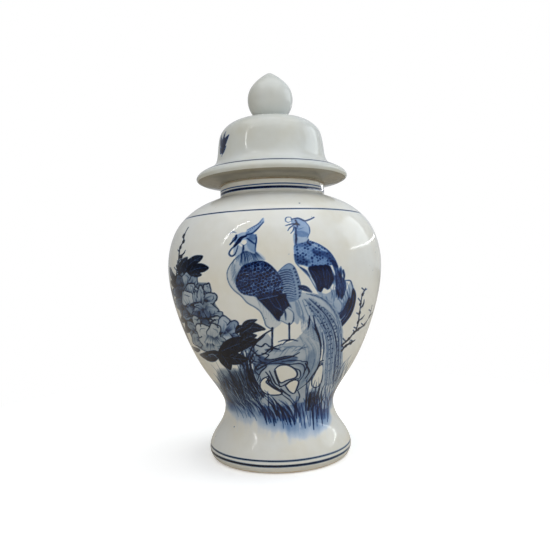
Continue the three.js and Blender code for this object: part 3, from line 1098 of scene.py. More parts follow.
def peonies(p):
    """Two full peonies and their dark leaves on the left of the rock."""
    # The peonies and their leaves are given a grey hue, blue 0.1 to 0.25: partly the cobalt's own grey,
    # partly painted shade for the dimmer, warmer light on the jar's left.
    p.wash([(-108, 208), (-92, 216), (-80, 205), (-66, 202), (-63, 186), (-54, 172), (-42, 162), (-40, 148),
            (-50, 138), (-70, 130), (-88, 134), (-96, 150), (-104, 168)], 0.5, 0.1, soft=1.5)
    leaves(p, LEAVES_BEHIND, 0.98, 0.1, lobes=1)
    for x, z, size, facing, breadth, ink in UPPER_FLOWER:
        petal(p, (x, z), size, facing, ink, 0.25, 0.94, breadth)
    p.wash([(-84, 174), (-72, 176), (-62, 170), (-64, 162), (-78, 162), (-88, 168)],
           0.3, 0.4, soft=2.5, pool=0)
    p.wash([(-108, 206), (-100, 212), (-96, 200), (-100, 184), (-94, 172), (-104, 168), (-110, 188)],
           0.36, 0.1, soft=3, pool=0)
    # Petals left of x -56 get a greyer hue than the rest: partly the cobalt's own grey, partly painted
    # shade on the dimmer left.
    for x, z, size, facing, breadth, ink in LOWER_FLOWER:
        petal(p, (x, z), size, facing, ink, 0.1 if x < -56 else 0.4, 0.88, breadth)
    for x, z, breadth in FLOWER_HEARTS:
        widths = (breadth * 0.5, breadth * 0.8, 0.4)
        for _ in range(3):
            start = jitter((x, z), breadth * 0.4)
            p.stroke([start, jitter(start, breadth)], widths, 0.9, 0.2, soft=0.5, dry=0.3)
    for base, tip, breadth, bend in LEAVES_BEFORE:
        leaf(p, base, tip, breadth, 0.98, 0.15, bend=bend)
    p.lift([(-74, 126), (-68, 127.5), (-64, 124)], 1.2, 0.45)
    p.stroke([(-72, 129), (-64, 131), (-58, 129)], 1.4, 0.8, 0.2)
    p.stroke([(-5, 155), (-14, 150), (-22, 143), (-27, 134), (-30, 126)], (0.9, 1.6, 1.2), 0.9, 0.3)
    p.stroke([(-26, 141), (-17, 145.6), (-12, 150)], (1.0, 1.4, 0.8), 0.85, 0.3)


def bud_branch(p):
    """The knotty budding branches that rise above the peonies."""
    twig(p, [(-101, 208), (-102, 220), (-101.4, 232), (-100, 242), (-96, 248), (-95, 255), (-91, 263)],
         3.2, 0.97, 0.15, buds=6)
    twig(p, [(-103, 212), (-99, 222), (-98, 232), (-94, 236)], 3.2, 0.97, 0.15, buds=4)
    twig(p, [(-106, 212), (-104, 222), (-103.6, 228)], 2.6, 0.95, 0.15, buds=2)


def right_twigs(p):
    """The bare twigs to the right of the long tail."""
    twig(p, [(68, 127), (73, 132), (79, 134), (84, 136)], 3.0, 0.95, 0.3, buds=3)
    twig(p, [(69, 134), (76, 139), (82, 145), (88, 148), (96, 152), (103, 160), (106, 172)],
         2.9, 0.92, 0.25, buds=7)
    twig(p, [(84, 146), (87, 156), (88, 166), (89.4, 176), (91, 186), (95, 192)], 2.7, 0.92, 0.3, buds=7)
    p.stroke([(88, 158), (92, 160), (95, 163)], 2.6, 0.9, 0.25)
    p.stroke([(90, 172), (93, 176), (93.4, 180)], (1.6, 3.0, 1.2), 0.88, 0.25)
    p.stroke([(91, 187), (95, 190.6), (97, 191)], (1.2, 2.0, 0.8), 0.6, 0.6)
    p.stroke([(103, 160), (109, 164), (112, 170)], 2.4, 0.9, 0.25)


def ground(p):
    """Wash under the rock, bluest at the waist, that thins out and runs towards the foot."""
    p.wash([(-58, 100), (-30, 108), (0, 84), (30, 84), (60, 96), (72, 110), (66, 74), (57, 56), (54, 50),
            (38, 52), (20, 54), (10, 54), (-8, 53), (-16, 57), (-34, 58), (-56, 60),
            (-64, 78)], 0.32, 0.45, soft=5, pool=0)
    p.wash([(-18, 72), (58, 72), (57, 58), (53, 47), (40, 50), (16, 55), (-8, 52), (-15, 59)],
           0.24, 0.8, soft=5, pool=0)
    p.wash([(-60, 72), (-20, 64), (-12, 54), (-30, 51), (-54, 53)], 0.14, 0.5, soft=6, pool=0)
    p.wash([(-14, 52), (24, 52), (56, 50), (54, 40), (30, 42), (-8, 45)], 0.2, 0.75, soft=6, pool=0)
    p.wash([(6, 46), (34, 46), (50, 42), (40, 34), (16, 36)], 0.12, 0.75, soft=6, pool=0)
    for _ in range(60):
        x = rng.uniform(-48, 54)
        low = rng.uniform(29, 44) if x > -16 else rng.uniform(38, 50)
        run = [(x, low + 20), (x, low + 9), (x, low)]
        p.stroke(run, (2.8, 3.6, 0.8), rng.uniform(0.02, 0.07), 0.65, soft=3.2)


def front_grass(p):
    """Blades of grass in front of the rock, and the grey-blue shade they stand in."""
    # The wash and blades on the left are given a grey hue, bluer towards the right: partly the cobalt's own
    # grey, partly painted shade on the dimmer left.
    p.wash([(-66, 106), (-48, 112), (-34, 110), (-24, 96), (-20, 74), (-34, 66), (-60, 70)],
           0.34, 0.0, soft=3.5, pool=0)
    p.wash([(-52, 108), (-36, 108), (-30, 92), (-46, 84), (-58, 92)], 0.22, 0.1, soft=3, pool=0)
    grass(p, -64, -30, 80, 30, 58, 0.84, 0.0, lean=-0.32, width=1.1, ragged=7)
    grass(p, -52, -18, 68, 24, 34, 0.6, 0.3, lean=-0.6, width=1.1, ragged=7)
    grass(p, -40, -14, 60, 18, 22, 0.6, 0.45, lean=-0.8, width=1.2, ragged=5)
    grass(p, -22, 20, 54, 26, 44, 0.84, 0.5, lean=-0.5, width=1.6, ragged=5)
    grass(p, 14, 58, 49, 28, 34, 0.78, 0.6, lean=0.06, width=1.5, ragged=5)
    grass(p, 28, 60, 66, 30, 30, 0.78, 0.3, lean=0.1, width=1.5)
    grass(p, 58, 76, 84, 28, 34, 0.55, 0.1, lean=0.35, width=1.3, ragged=6)
    blade = [(-4, 18), (-1, 9), (0, 0)]
    flecks(p, 16, (-20, 56), (44, 60), blade, (0.9, 1.6, 0.8), (0.3, 0.8), 0.6, soft=0.5, dry=0.4)
    for _ in range(8):
        x = rng.uniform(30, 38)
        dark_blade = [(x, 82), (x - 1, 70), (x - 2, 60)]
        p.stroke(dark_blade, (0.8, 2.2, 1.0), rng.uniform(0.6, 0.97), 0.3, soft=0.5, dry=0.4)


def around_the_right(p):
    """The grass thins out past the right edge of the front view."""
    p.turn = 78
    p.wash([(-26, 74), (-8, 78), (10, 70), (8, 58), (-10, 54), (-28, 56)], 0.16, 0.5, soft=5, pool=0)
    grass(p, -24, -4, 66, 30, 26, 0.6, 0.35, lean=0.2, width=1.5, ragged=5)
    grass(p, -6, 14, 72, 22, 14, 0.5, 0.4, lean=0.3, width=1.3, ragged=5)
    twig(p, [(-14, 78), (-8, 96), (-10, 112), (-4, 126)], 1.6, 0.8, 0.35, buds=4)
    p.turn = 0.0


def around_the_left(p):
    """What runs on round the side, past the edge of the front view."""
    p.turn = -62
    peony(p, (-36, 186), 19, 0.3, 0.3, petals=8, start=40)
    leaves(p, [
        ((-24, 190), (-48, 214), 13),
        ((-26, 184), (-58, 190), 14),
        ((-24, 172), (-54, 158), 14),
        ((-20, 166), (-36, 138), 13),
        ((-16, 160), (-20, 132), 11),
    ], 0.95, 0.3, lobes=1)
    twig(p, [(-30, 150), (-44, 168), (-54, 190), (-58, 214), (-64, 236)], 2.2, 0.9, 0.3, buds=6)
    grass(p, -44, -4, 70, 34, 46, 0.6, 0.4, lean=-0.3, width=1.8)
    p.wash([(-40, 84), (0, 92), (10, 60), (-34, 58)], 0.2, 0.5, soft=4, pool=0)
    p.turn = 0.0


FORE_WING = [(0, 0), (0.5, 0.9), (1.2, 0.8), (1, 0.1)]
HIND_WING = [(0, 0), (0.8, -0.05), (0.75, -0.7), (0.2, -0.55)]
FEELER = [(0, 0.3), (0.2, 1), (0.5, 1.3)]


def butterfly(p, x, z, size):
    """A small butterfly seen from above. Its outlines are in shares of its size."""
    for side in (-1, 1):
        fore, hind, feeler = (
            [(x + side * size * across, z + size * up) for across, up in line]
            for line in (FORE_WING, HIND_WING, FEELER)
        )
        for wing in (fore, hind):
            p.wash(wing, 0.34, 0.6)
            p.stroke(wing + wing[:1], 0.9, 0.75, 0.5)
        p.dot((x + side * size * 0.75, z + size * 0.5), 1.8, 0.8, 0.5)
        p.stroke(feeler, 0.5, 0.7, 0.5)
    trunk = [(x, z + size * 0.35), (x, z - size * 0.6)]
    p.stroke(trunk, (1.6, 2.2, 0.8), 0.9, 0.5, rounded=False)


def back_side(p):
    """A sparse spray and a butterfly, where such jars are left mostly white."""
    p.turn = 180
    twig(p, [(-40, 96), (-30, 122), (-14, 146), (-2, 168), (16, 184), (38, 196)], 2.8, 0.9, 0.35, buds=6)
    twig(p, [(-14, 146), (-26, 166), (-34, 186)], 2.0, 0.88, 0.35, buds=4)
    twig(p, [(-2, 168), (0, 190), (10, 208)], 1.8, 0.86, 0.35, buds=4)
    peony(p, (-30, 192), 14, 0.26, 0.35, petals=7, start=15)
    peony(p, (22, 176), 12, 0.28, 0.4, petals=7, start=50)
    leaves(p, [
        ((-22, 150), (-44, 158), 9),
        ((-8, 156), (10, 148), 9),
        ((14, 184), (34, 172), 8),
        ((32, 192), (48, 204), 8),
        ((8, 200), (18, 216), 7),
        ((-34, 118), (-54, 122), 10),
        ((-30, 122), (-14, 116), 9),
        ((-32, 182), (-50, 178), 8),
    ], 0.92, 0.4, bend=0.12)
    butterfly(p, 46, 236, 10)
    grass(p, -52, -20, 78, 24, 36, 0.7, 0.5, lean=-0.1, width=1.6)
    p.wash([(-56, 88), (-14, 92), (-10, 74), (-50, 72)], 0.18, 0.6, soft=4, pool=0)
    p.turn = 0.0


def specks(p, count):
    """Iron specks that every such glaze has, anywhere on the jar and twice at the front."""
    for _ in range(count):
        p.turn = rng.uniform(0, 360)
        place = (0, rng.uniform(20, 292))
        p.dot(place, rng.uniform(0.5, 0.9), rng.uniform(0.4, 0.8), 0.0, soft=0.25)
    p.turn = 0.0
    p.dot((27.4, 282), 1.3, 0.85, 0.0)
    p.dot((-51, 42), 1.2, 0.7, 0.0)


def paint_jar():
    """The whole painting on the jar's outside, from what is furthest back to what is in front."""
    p = Painting(jar_line, painted_angles())
    ground(p)
    far_bird(p)
    rock(p)
    long_tail(p)
    back_fan(p)
    near_bird(p)
    around_the_left(p)
    bud_branch(p)
    peonies(p)
    right_twigs(p)
    front_grass(p)
    around_the_right(p)
    back_side(p)
    specks(p, 26)
    p.ring(275.6, 1.8, 0.95, 0.45, fade=0.15)
    p.ring(14.6, 1.5, 0.94, 0.05, fade=0.4)
    p.ring(9.6, 2.5, 0.99, 0.05, fade=0.45)
    p.settle()
    return p


def paint_lid():
    """The ring round the lid's brim and the two leaf sprigs on its dome."""
    p = Painting(lid_line[:-1], even_angles(LID_SIDES))
    p.ring(330.7, 3.4, 0.97, 0.45, fade=0.1)
    for turn, lean in ((-60, 1), (118, -1)):
        p.turn = turn
        leaves(p, [
            ((0, 350), (3 * lean, 374), 7),
            ((-1, 356), (-10 * lean, 374), 7),
            ((1, 354), (12 * lean, 368), 8),
            ((0, 350), (-9 * lean, 358), 6),
            ((0, 348), (8 * lean, 356), 6),
        ], 0.96, 0.6)
        twig(p, [(0, 346), (1, 358), (3 * lean, 370)], 1.6, 0.9, 0.45, buds=3)
    p.turn = 0.0
    p.settle()
    return p


# ---- materials ----------------------------------------------------------------------------

def srgb(colour):
    """A 0 to 255 screen colour as Blender's linear one."""
    channels = [c / 255 for c in colour]
    linear = [c / 12.92 if c <= 0.04045 else ((c + 0.055) / 1.055) ** 2.4 for c in channels]
    return (*linear, 1.0)


class Tree:
    """Shorthand for the node tree of a material or a world."""

    def __init__(self, owner):
        owner.use_nodes = True
        self.tree = owner.node_tree

    def add(self, kind, **settings):
        """A new node with some of its settings changed."""
        node = self.tree.nodes.new(kind)
        for key, value in settings.items():
            setattr(node, key, value)
        return node

    def link(self, output, target):
        """Leads a node's output to an input."""
        self.tree.links.new(output, target)

    def set_input(self, target, value):
        """Gives a node's input a number, a 0 to 255 colour or another node's output."""
        if isinstance(value, (int, float)):
            target.default_value = value
        elif isinstance(value, tuple):
            target.default_value = srgb(value)
        else:
            self.link(value, target)

    def math(self, operation, a, b):
        """Two values added, multiplied or otherwise combined."""
        node = self.add("ShaderNodeMath", operation=operation)
        self.set_input(node.inputs[0], a)
        self.set_input(node.inputs[1], b)
        return node.outputs[0]


class Nodes(Tree):
    """A new material's node tree. place is the position on the object that patterns follow."""

    def __init__(self, name):
        self.material = bpy.data.materials.new(name)
        super().__init__(self.material)
        self.shader = self.tree.nodes["Principled BSDF"]
        self.place = self.add("ShaderNodeTexCoord").outputs["Object"]

    def noise(self, size, detail=2.0, roughness=0.5, stretch=None):
        """Noise from 0 to 1 whose features are about size millimetres across."""
        node = self.add("ShaderNodeTexNoise")
        node.inputs["Scale"].default_value = 1 / (size * MM)
        node.inputs["Detail"].default_value = detail
        node.inputs["Roughness"].default_value = roughness
        source = self.place
        if stretch:
            mapping = self.add("ShaderNodeMapping")
            mapping.inputs["Scale"].default_value = stretch
            self.link(source, mapping.inputs["Vector"])
            source = mapping.outputs["Vector"]
        self.link(source, node.inputs["Vector"])
        return node.outputs["Fac"]

    def spots(self, size, share):
        """1 in small round spots spread about size millimetres apart, 0 elsewhere."""
        cells = self.add("ShaderNodeTexVoronoi")
        cells.inputs["Scale"].default_value = 1 / (size * MM)
        self.link(self.place, cells.inputs["Vector"])
        return self.between(cells.outputs["Distance"], share, share * 0.5, 0.0, 1.0)

    def attribute(self, name):
        """A value stored on the vertices."""
        return self.add("ShaderNodeAttribute", attribute_name=name).outputs["Fac"]

    def between(self, source, low, high, to_low, to_high):
        """Maps the range low to high of a value on to another range."""
        node = self.add("ShaderNodeMapRange")
        self.link(source, node.inputs["Value"])
        limits = {"From Min": low, "From Max": high, "To Min": to_low, "To Max": to_high}
        for key, value in limits.items():
            node.inputs[key].default_value = value
        return node.outputs["Result"]

    def ramp(self, source, stops):
        """A colour for each value. stops are pairs of a value and a 0 to 255 colour."""
        node = self.add("ShaderNodeValToRGB")
        elements = node.color_ramp.elements
        while len(elements) < len(stops):
            elements.new(0.5)
        for element, (at, colour) in zip(elements, stops):
            element.position = at
            element.color = srgb(colour)
        self.link(source, node.inputs["Fac"])
        return node.outputs["Color"]

    def mix(self, share, a, b):
        """Colour a where share is 0 and colour b where it is 1."""
        node = self.add("ShaderNodeMix", data_type="RGBA")
        for socket, value in ((0, share), (6, a), (7, b)):
            self.set_input(node.inputs[socket], value)
        return node.outputs[2]

    def bump(self, height, distance, below=None):
        """A surface relief. distance is the depth in millimetres of a height of 1."""
        node = self.add("ShaderNodeBump")
        node.inputs["Distance"].default_value = distance * MM
        self.link(height, node.inputs["Height"])
        if below is not None:
            self.link(below, node.inputs["Normal"])
        return node.outputs["Normal"]

    def finish(self, colour, roughness, normal, **plain):
        """Joins the shader up. plain holds values that are the same all over."""
        self.link(colour, self.shader.inputs["Base Color"])
        self.link(roughness, self.shader.inputs["Roughness"])
        self.link(normal, self.shader.inputs["Normal"])
        for key, value in plain.items():
            self.shader.inputs[key.replace("_", " ")].default_value = value
        return self.material


# Cobalt from none to the thickest, where it fired grey and where it fired bright; the grey is partly
# painted shade on the dimmer left.
GREY_COBALT = [
    (0.0, (222, 224, 222)),
    (0.15, (180, 189, 197)),
    (0.35, (124, 142, 160)),
    (0.55, (72, 92, 119)),
    (0.75, (29, 46, 76)),
    (1.0, (1, 3, 18)),
]
BRIGHT_COBALT = [
    (0.0, (222, 225, 228)),
    (0.15, (170, 193, 221)),
    (0.35, (106, 144, 195)),
    (0.55, (55, 94, 156)),
    (0.75, (17, 47, 108)),
    (1.0, (0, 3, 42)),
]


IRON = (128, 112, 92)
GLAZE_REFLECTION = 0.42  # Blender's specular level, a little duller than glass


def glaze(name, body, warm, painted):
    """Clear glossy glaze over porcelain, with cobalt under it where painted.

    body is the porcelain's colour through the glaze, and warm its colour where the glaze is
    thicker. Given darker, for the lid and the brim's underside, they are painted shade.
    """
    m = Nodes(name)
    patchy = m.noise(55, detail=3)
    ground = m.mix(m.between(patchy, 0.35, 0.7, 0, 1), body, warm)
    pale = tuple(channel + 9 for channel in body)
    mottled = m.mix(m.between(m.noise(9, detail=4), 0.3, 0.75, 0, 0.3), ground, pale)
    specks = m.math("MULTIPLY", m.spots(16, 0.035), m.between(m.noise(30), 0.52, 0.6, 0, 0.55))
    colour = m.mix(specks, mottled, IRON)
    if painted:
        ink = m.attribute("ink")
        worked = m.math("MULTIPLY", ink, m.between(m.noise(1.1, detail=3), 0.2, 0.8, 0.9, 1.08))
        grey_blue = m.ramp(worked, GREY_COBALT)
        bright_blue = m.ramp(worked, BRIGHT_COBALT)
        cobalt = m.mix(m.between(m.attribute("blue"), 0.15, 0.95, 0, 1), grey_blue, bright_blue)
        colour = m.mix(m.between(ink, 0.01, 0.09, 0, 1), colour, cobalt)
    roughness = m.between(m.noise(24, detail=3), 0.3, 0.75, 0.055, 0.12)
    ripple = m.bump(m.noise(26, detail=1, stretch=(1, 1, 0.45)), 0.35)
    orange_peel = m.bump(m.noise(3.2, detail=1), 0.012, below=ripple)
    return m.finish(colour, roughness, orange_peel, Specular_IOR_Level=GLAZE_REFLECTION)


def bare_porcelain():
    """Fired porcelain without glaze, as on the foot ring and the collar."""
    m = Nodes("bare_porcelain")
    toasted = m.between(m.noise(18, detail=4), 0.35, 0.7, 0, 1)
    colour = m.mix(toasted, (232, 226, 214), (214, 198, 174))
    grit = m.noise(0.7, detail=3)
    colour = m.mix(m.between(grit, 0.62, 0.75, 0, 0.5), colour, (176, 158, 132))
    roughness = m.between(grit, 0.2, 0.8, 0.55, 0.8)
    wheel_lines = m.bump(m.noise(1.6, detail=1, stretch=(0.1, 0.1, 1)), 0.05)
    return m.finish(colour, roughness, m.bump(grit, 0.05, below=wheel_lines), Specular_IOR_Level=0.4)


# ---- the pieces ---------------------------------------------------------------------------

def part(piece, body, slot_name, material, *nodes):
    """Hangs a piece on its body and hides the CAD nodes it stands for."""
    piece.data.materials.append(material)
    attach(piece, body)
    if nodes:
        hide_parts(*nodes)


def plain_part(name, line, body, slot_name, material, *nodes, **form):
    """A piece without painting, turned from its outline."""
    piece = turned(name, line, even_angles(), **form)
    part(piece, body, slot_name, material, *nodes)


def painted_part(name, painting, body, slot_name, material, node, rows=slice(None)):
    """A piece that carries some rows of a painting, or all of them."""
    fields = {"ink": painting.ink[rows], "blue": painting.blue[rows]}
    piece = turned(name, painting.line[rows], painting.angles, fields)
    part(piece, body, slot_name, material, node)


def row_at(line, height):
    """The number of the line's point that is nearest to a height."""
    return int(np.argmin(np.abs(line[:, 1] - height)))


def make_jar_wall(body, foot):
    """The painted outside, in three pieces that meet where the CAD sections do."""
    painting = paint_jar()
    waist, belly = row_at(jar_line, WAIST_HEIGHT), row_at(jar_line, BELLY_HEIGHT)
    below, middle, above = slice(0, waist + 1), slice(waist, belly + 1), slice(belly, len(jar_line))
    painted_part("jar_foot_glazed", painting, "jar", "foot_glaze", foot, "jar_foot", below)
    painted_part("jar_lower_body_painted", painting, "jar", "body_glaze", body, "jar_lower_body", middle)
    painted_part("jar_upper_body_painted", painting, "jar", "body_glaze", body, "jar_upper_body", above)


def make_jar_inside(material):
    """The glazed inside, from the mouth down to the middle of the floor."""
    inner = curve_through([
        (NECK_BORE + 0.6, NECK_TOP - 1),
        (NECK_BORE, NECK_TOP - 3),
        (NECK_BORE, NECK_FOOT + 4),
        (NECK_BORE + 0.8, NECK_FOOT - 4),
        (62, 293),
        (83, 283),
        (102, 268),
        (112, 252),
        (BELLY_RADIUS - WALL, BELLY_HEIGHT),
        (107, 162),
        (88, 117),
        (75, 95),
        (62.5, 75),
        (57, WAIST_HEIGHT),
        (58, 40),
        (52, 26),
        (36, FLOOR_TOP + 1.5),
        (14, FLOOR_TOP + 0.2),
        (0, FLOOR_TOP),
    ])
    plain_part("jar_inside", inner, "jar", "body_glaze", material)


def make_foot_underside(material, bare):
    """The recessed base and the bare ring that the jar stands on."""
    underside = joined(
        evenly([(0, FOOT_RECESS), (64.5, FOOT_RECESS)], 2.5),
        curve_through([(64.5, FOOT_RECESS), (67.4, FOOT_RECESS - 0.5), (69.6, 7), (70.6, 4.2)]),
    )
    ring = curve_through([
        (70.6, 4.2), (71.1, 1.2), (72.4, 0.1), (75, 0), (77.4, 0.1), (79.4, 1.2), JAR_KNOTS[0]
    ])
    plain_part("jar_base", underside, "jar", "foot_glaze", material)
    plain_part("jar_foot_ring", ring, "jar", "bare_porcelain", bare)


def make_neck(material, bare):
    """The upright neck with its two rings, and the bare lip that the lid rests on."""
    wall = evenly(curve_through([
        JAR_KNOTS[-1],
        (NECK_RADIUS + 0.8, NECK_FOOT - 0.3),
        (NECK_RADIUS, NECK_FOOT + 2),
        (NECK_RADIUS, NECK_FOOT + 6.5),
        (NECK_RADIUS, NECK_TOP - 2.4),
        (NECK_RADIUS - 0.7, NECK_TOP - 0.9),
    ]), FINE / 2)
    painting = Painting(wall, even_angles(NECK_SIDES))
    painting.ring(304.9, 2.6, 0.93, 0.6, fade=0.1)
    painting.ring(308.4, 1.1, 0.75, 0.6, fade=0.1)
    painted_part("jar_neck_painted", painting, "jar", "body_glaze", material, "jar_neck")
    lip = curve_through([
        (NECK_RADIUS - 0.7, NECK_TOP - 0.9),
        (NECK_RADIUS - 2, NECK_TOP - 0.1),
        (NECK_RADIUS - 3.5, NECK_TOP),
        (NECK_BORE + 2, NECK_TOP - 0.1),
        (NECK_BORE + 0.6, NECK_TOP - 1),
    ])
    plain_part("jar_lip", lip, "jar", "bare_porcelain", bare)


def make_lid_outside(painted, plain):
    """The painted dome with its brim, and the small plain disc that closes it at the top."""
    painting = paint_lid()
    painted_part("lid_dome_painted", painting, "lid", "lid_glaze", painted, "lid_dome")
    crown = turned("lid_crown", np.vstack([painting.line[-1:], (0, DOME_TOP)]), painting.angles)
    part(crown, "lid", "lid_glaze", plain)


def make_lid_underside(plain, shaded, bare):
    """The brim's underside, the unglazed seat that rests on the neck, and the hollow dome."""
    brim = curve_through([
        (NECK_RADIUS, LID_SEAT + 0.1),
        (70, LID_SEAT + 1.5),
        (78, LID_SEAT + 2.9),
        (83.5, LID_SEAT + 3.9),
        tuple(lid_line[0]),
    ])
    # Its glaze is painted dark and warm as painted shade under the brim.
    plain_part("lid_brim_underside", brim, "lid", "lid_glaze", shaded)
    groove = COLLAR_RADIUS + 0.3
    seat = np.array([
        (groove, LID_SEAT + 1.4),
        (groove + 0.5, LID_SEAT + 0.2),
        (groove + 2, LID_SEAT),
        (NECK_RADIUS - 1.5, LID_SEAT),
        (NECK_RADIUS, LID_SEAT + 0.1),
    ])
    plain_part("lid_seat", seat, "lid", "bare_porcelain", bare)
    hollow = curve_through([
        (0, DOME_TOP - WALL),
        (16, DOME_TOP - WALL - 0.5),
        (32, 385),
        (45, 380),
        (52.8, 370),
        (55.4, 360),
        (56.4, 348),
        (56.4, 338),
        (53.5, 327),
        (COLLAR_BORE, COLLAR_TOP),
    ])
    plain_part("lid_hollow", hollow, "lid", "lid_glaze", plain)


def make_lid_collar(bare):
    """The bare ring under the lid that drops into the neck."""
    ring = rounded_ring(COLLAR_BORE, COLLAR_RADIUS, COLLAR_BOTTOM, COLLAR_TOP, corner=1.3)
    plain_part("lid_collar_ring", ring, "lid", "bare_porcelain", bare, "lid_collar", closed=True)


def rounded_ring(inner, outer, low, high, corner):
    """The closed section of a ring with round edges."""
    points = []
    for x, z, start in (
        (outer - corner, low + corner, -90),
        (outer - corner, high - corner, 0),
        (inner + corner, high - corner, 90),
        (inner + corner, low + corner, 180),
    ):
        for i in range(6):
            a = math.radians(start + 18 * i)
            points.append((x + corner * math.cos(a), z + corner * math.sin(a)))
    return np.array(points)


def make_finial(material):
    """The pointed bud. It sits a millimetre off the axis, as it was stuck on by hand."""
    bud = spline([
        (15.2, DOME_TOP - 0.6),
        (15.6, DOME_TOP + 0.8),
        (16.6, DOME_TOP + 2.8),
        (20.6, 400),
        (25, 407.5),
        (FINIAL_RADIUS, 417.5),
        (25, 427),
        (20.6, 434.3),
        (13.8, 441.2),
        (7.2, 446.2),
        (2.4, 449.2),
        (0, TIP),
    ], 0.9)
    # The knob's glaze is painted a shade darker than the jar's: painted shade.
    plain_part("lid_finial_bud", bud, "lid", "lid_glaze", material, "lid_finial", centre=FINIAL_X)


# ---- floor, light and camera --------------------------------------------------------------

WHITE = (1, 1, 1, 1)


def disc(name, height):
    """A flat round sheet. Its height and rings are in metres."""
    rings = np.array([(radius, height) for radius in (8.0, 3.2, 1.6, 0.8, 0.4, 0.0)]) / MM
    return turned(name, rings, even_angles(96))


def make_floor():
    """A pale floor that glows to white further out, as an overexposed paper backdrop does.
    Only the camera sees it."""
    floor = disc("floor", 0.0)
    m = Nodes("floor_paper")
    fibre = m.noise(4, detail=4)
    tint = m.mix(m.between(m.noise(120, detail=2), 0.3, 0.7, 0, 1), (250, 250, 250), (253, 253, 253))
    distance = m.add("ShaderNodeVectorMath", operation="LENGTH")
    m.link(m.place, distance.inputs[0])
    far = m.between(distance.outputs["Value"], 0.12, 0.55, 0, 1)
    m.link(m.mix(far, tint, (0, 0, 0)), m.shader.inputs["Base Color"])
    m.link(m.between(fibre, 0, 1, 0.8, 0.95), m.shader.inputs["Roughness"])
    m.shader.inputs["Specular IOR Level"].default_value = 0.0
    m.shader.inputs["Emission Color"].default_value = WHITE
    m.link(m.between(distance.outputs["Value"], 0.1, 0.5, 0.3, 1.0), m.shader.inputs["Emission Strength"])
    floor.data.materials.append(m.material)
    floor.visible_diffuse = False
    floor.visible_glossy = False
    floor.visible_shadow = False


def make_table():
    """A darker, warmer table top that lights the jar from below. The camera doesn't see it."""
    table = disc("table_bounce", -0.001)
    m = Nodes("table_wood")
    grain = m.noise(30, detail=4, stretch=(1, 0.1, 1))
    colour = m.mix(grain, (196, 185, 167), (210, 200, 182))
    m.finish(colour, m.between(grain, 0, 1, 0.5, 0.7), m.bump(grain, 0.1))
    table.data.materials.append(m.material)
    table.visible_camera = False


def placed(place, x_axis, y_axis, z_axis):
    """The transform that puts an object at a place with its axes along three directions."""
    return Matrix.Translation(place) @ Matrix((x_axis, y_axis, z_axis)).transposed().to_4x4()


HEART_OF_JAR = (0, 0, 0.25)  # what every lamp faces, in metres


def lamp(name, place, facing, along, size, radiance, colour):
    """A rectangular lamp at place that shines along facing, its first side along `along`.
    Sizes are in metres and radiance is in watts per square metre and steradian."""
    data = bpy.data.lights.new(name, "AREA")
    data.shape = "RECTANGLE"
    data.size, data.size_y = size
    data.energy = radiance * math.pi * size[0] * size[1]
    data.color = colour
    holder = bpy.data.objects.new(name, data)
    bpy.context.scene.collection.objects.link(holder)
    back = -Vector(facing).normalized()
    side = Vector(along)
    side = (side - back * side.dot(back)).normalized()
    up = back.cross(side)
    holder.matrix_world = placed(place, side, up, back)
    return holder


def soft_box(name, azimuth, elevation, distance, size, radiance, colour):
    """A soft panel facing the jar. Azimuth 0 is the camera's side and grows to the right."""
    a, e = math.radians(azimuth), math.radians(elevation)
    towards = Vector((math.sin(a) * math.cos(e), -math.cos(a) * math.cos(e), math.sin(e)))
    level = Vector((math.cos(a), math.sin(a), 0))
    place = Vector(HEART_OF_JAR) + towards * distance
    return lamp(name, place, -towards, level, size, radiance, colour)


def tube(name, start, end, width, radiance):
    """A fluorescent tube from start to end, seen in the glaze as a thin bright line."""
    start, end = Vector(start), Vector(end)
    middle = (start + end) / 2
    facing = Vector(HEART_OF_JAR) - middle
    size = ((end - start).length, width)
    return lamp(name, middle, facing, end - start, size, radiance, (1, 1, 1))


def make_lights():
    """Light from the ceiling and from the right, a fill from the camera's side that leaves no
    highlight, and two tubes for the long thin highlights."""
    soft_box("ceiling", 0, 78, 2.0, (2.6, 2.2), 1.0, (1.0, 0.99, 0.97))
    soft_box("right_window", 103, 25, 1.9, (1.3, 0.95), 1.9, (0.86, 0.94, 1.0))
    soft_box("right_room", 45, 40, 1.9, (1.6, 1.2), 0.7, (0.94, 0.97, 1.0))
    fill = soft_box("front_fill", -8, -1, 1.8, (1.8, 1.3), 1.75, (1.0, 0.985, 0.955))
    fill.visible_glossy = False
    tube("right_tube", (1.5, -0.39, 0.54), (1.5, 1.78, 0.68), 0.02, 10)
    tube("left_tube", (-0.55, -0.64, 1.6), (-1.8, -1.3, 1.6), 0.028, 26)


WORLD_SLOPE = (0.2, 0.22, 0.16)  # how much brighter towards +X, +Y and +Z
WORLD_LEVEL = 0.29
WORLD_DIM = (0.03, 0.026, 0.02, 1)
WORLD_BRIGHT = (0.96, 1.0, 1.04, 1)


def make_world():
    """A white surround for the camera. What lights the jar is brighter above, behind and to
    the right, and warm where it is dim."""
    world = bpy.data.worlds.new("studio")
    t = Tree(world)
    slope = t.add("ShaderNodeVectorMath", operation="DOT_PRODUCT")
    slope.inputs[1].default_value = WORLD_SLOPE
    t.link(t.add("ShaderNodeTexCoord").outputs["Generated"], slope.inputs[0])
    ramp = t.add("ShaderNodeValToRGB")
    dim, bright = ramp.color_ramp.elements
    dim.color, bright.color = WORLD_DIM, WORLD_BRIGHT
    t.link(t.math("ADD", slope.outputs["Value"], WORLD_LEVEL), ramp.inputs["Fac"])
    lit = t.tree.nodes["Background"]
    t.link(ramp.outputs["Color"], lit.inputs["Color"])
    seen = t.add("ShaderNodeBackground")
    seen.inputs["Color"].default_value = WHITE
    mix = t.add("ShaderNodeMixShader")
    t.link(t.add("ShaderNodeLightPath").outputs["Is Camera Ray"], mix.inputs[0])
    t.link(lit.outputs[0], mix.inputs[1])
    t.link(seen.outputs[0], mix.inputs[2])
    t.link(mix.outputs[0], t.tree.nodes["World Output"].inputs["Surface"])
    bpy.context.scene.world = world


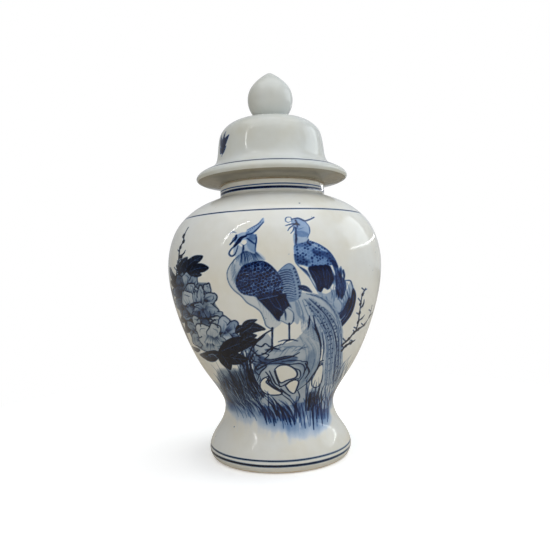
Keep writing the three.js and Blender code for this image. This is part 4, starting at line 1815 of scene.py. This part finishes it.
SENSOR_WIDTH = 36
# The photo's viewing angle, in metres, radians and millimetres of lens.
CAMERA_PLACE = (0, -0.65475, 0.211)
CAMERA_PITCH = -0.0029
CAMERA_ROLL = -0.0337
CAMERA_LENS = 35.89


def make_camera():
    """A camera level with the belly, pitched and rolled a little as the photo's was."""
    data = bpy.data.cameras.new("camera")
    data.sensor_width = SENSOR_WIDTH
    data.lens = CAMERA_LENS
    data.clip_start = 0.01
    camera = bpy.data.objects.new("camera", data)
    bpy.context.scene.collection.objects.link(camera)
    ahead = Vector((0, math.cos(CAMERA_PITCH), math.sin(CAMERA_PITCH)))
    level_up = Vector((0, -math.sin(CAMERA_PITCH), math.cos(CAMERA_PITCH)))
    level_right = Vector((1, 0, 0))
    right = level_right * math.cos(CAMERA_ROLL) + level_up * math.sin(CAMERA_ROLL)
    up = level_up * math.cos(CAMERA_ROLL) - level_right * math.sin(CAMERA_ROLL)
    camera.matrix_world = placed(CAMERA_PLACE, right, up, -ahead)
    bpy.context.scene.camera = camera


# ---- assembly -----------------------------------------------------------------------------

body_glaze = glaze("painted_glaze", (226, 229, 228), (221, 219, 208), painted=True)
foot_glaze = glaze("foot_glaze", (224, 226, 224), (220, 217, 205), painted=True)
# The lid's two glazes are the jar's glaze painted a shade darker and greyer: painted shade on the dome, the
# crown, the hollow and the knob.
lid_glaze = glaze("lid_glaze", (208, 213, 213), (203, 204, 195), painted=True)
plain_lid_glaze_painted_shade = glaze("plain_lid_glaze_painted_shade", (208, 213, 213), (203, 204, 195), painted=False)
# The brim's underside glaze is painted dark and warm: painted shade where the brim hangs over the jar's
# shoulder.
brim_painted_shade_glaze = glaze("brim_painted_shade_glaze", (146, 142, 128), (130, 124, 106), painted=False)
inside_glaze = glaze("inside_glaze", (222, 225, 222), (214, 212, 200), painted=False)
bare = bare_porcelain()
make_jar_wall(body_glaze, foot_glaze)
make_jar_inside(inside_glaze)
make_foot_underside(inside_glaze, bare)
make_neck(body_glaze, bare)
make_lid_outside(lid_glaze, plain_lid_glaze_painted_shade)
make_lid_underside(plain_lid_glaze_painted_shade, brim_painted_shade_glaze, bare)
make_lid_collar(bare)
make_finial(plain_lid_glaze_painted_shade)
make_floor()
make_table()
make_world()
make_lights()
make_camera()
bpy.context.scene.view_settings.view_transform = "Standard"
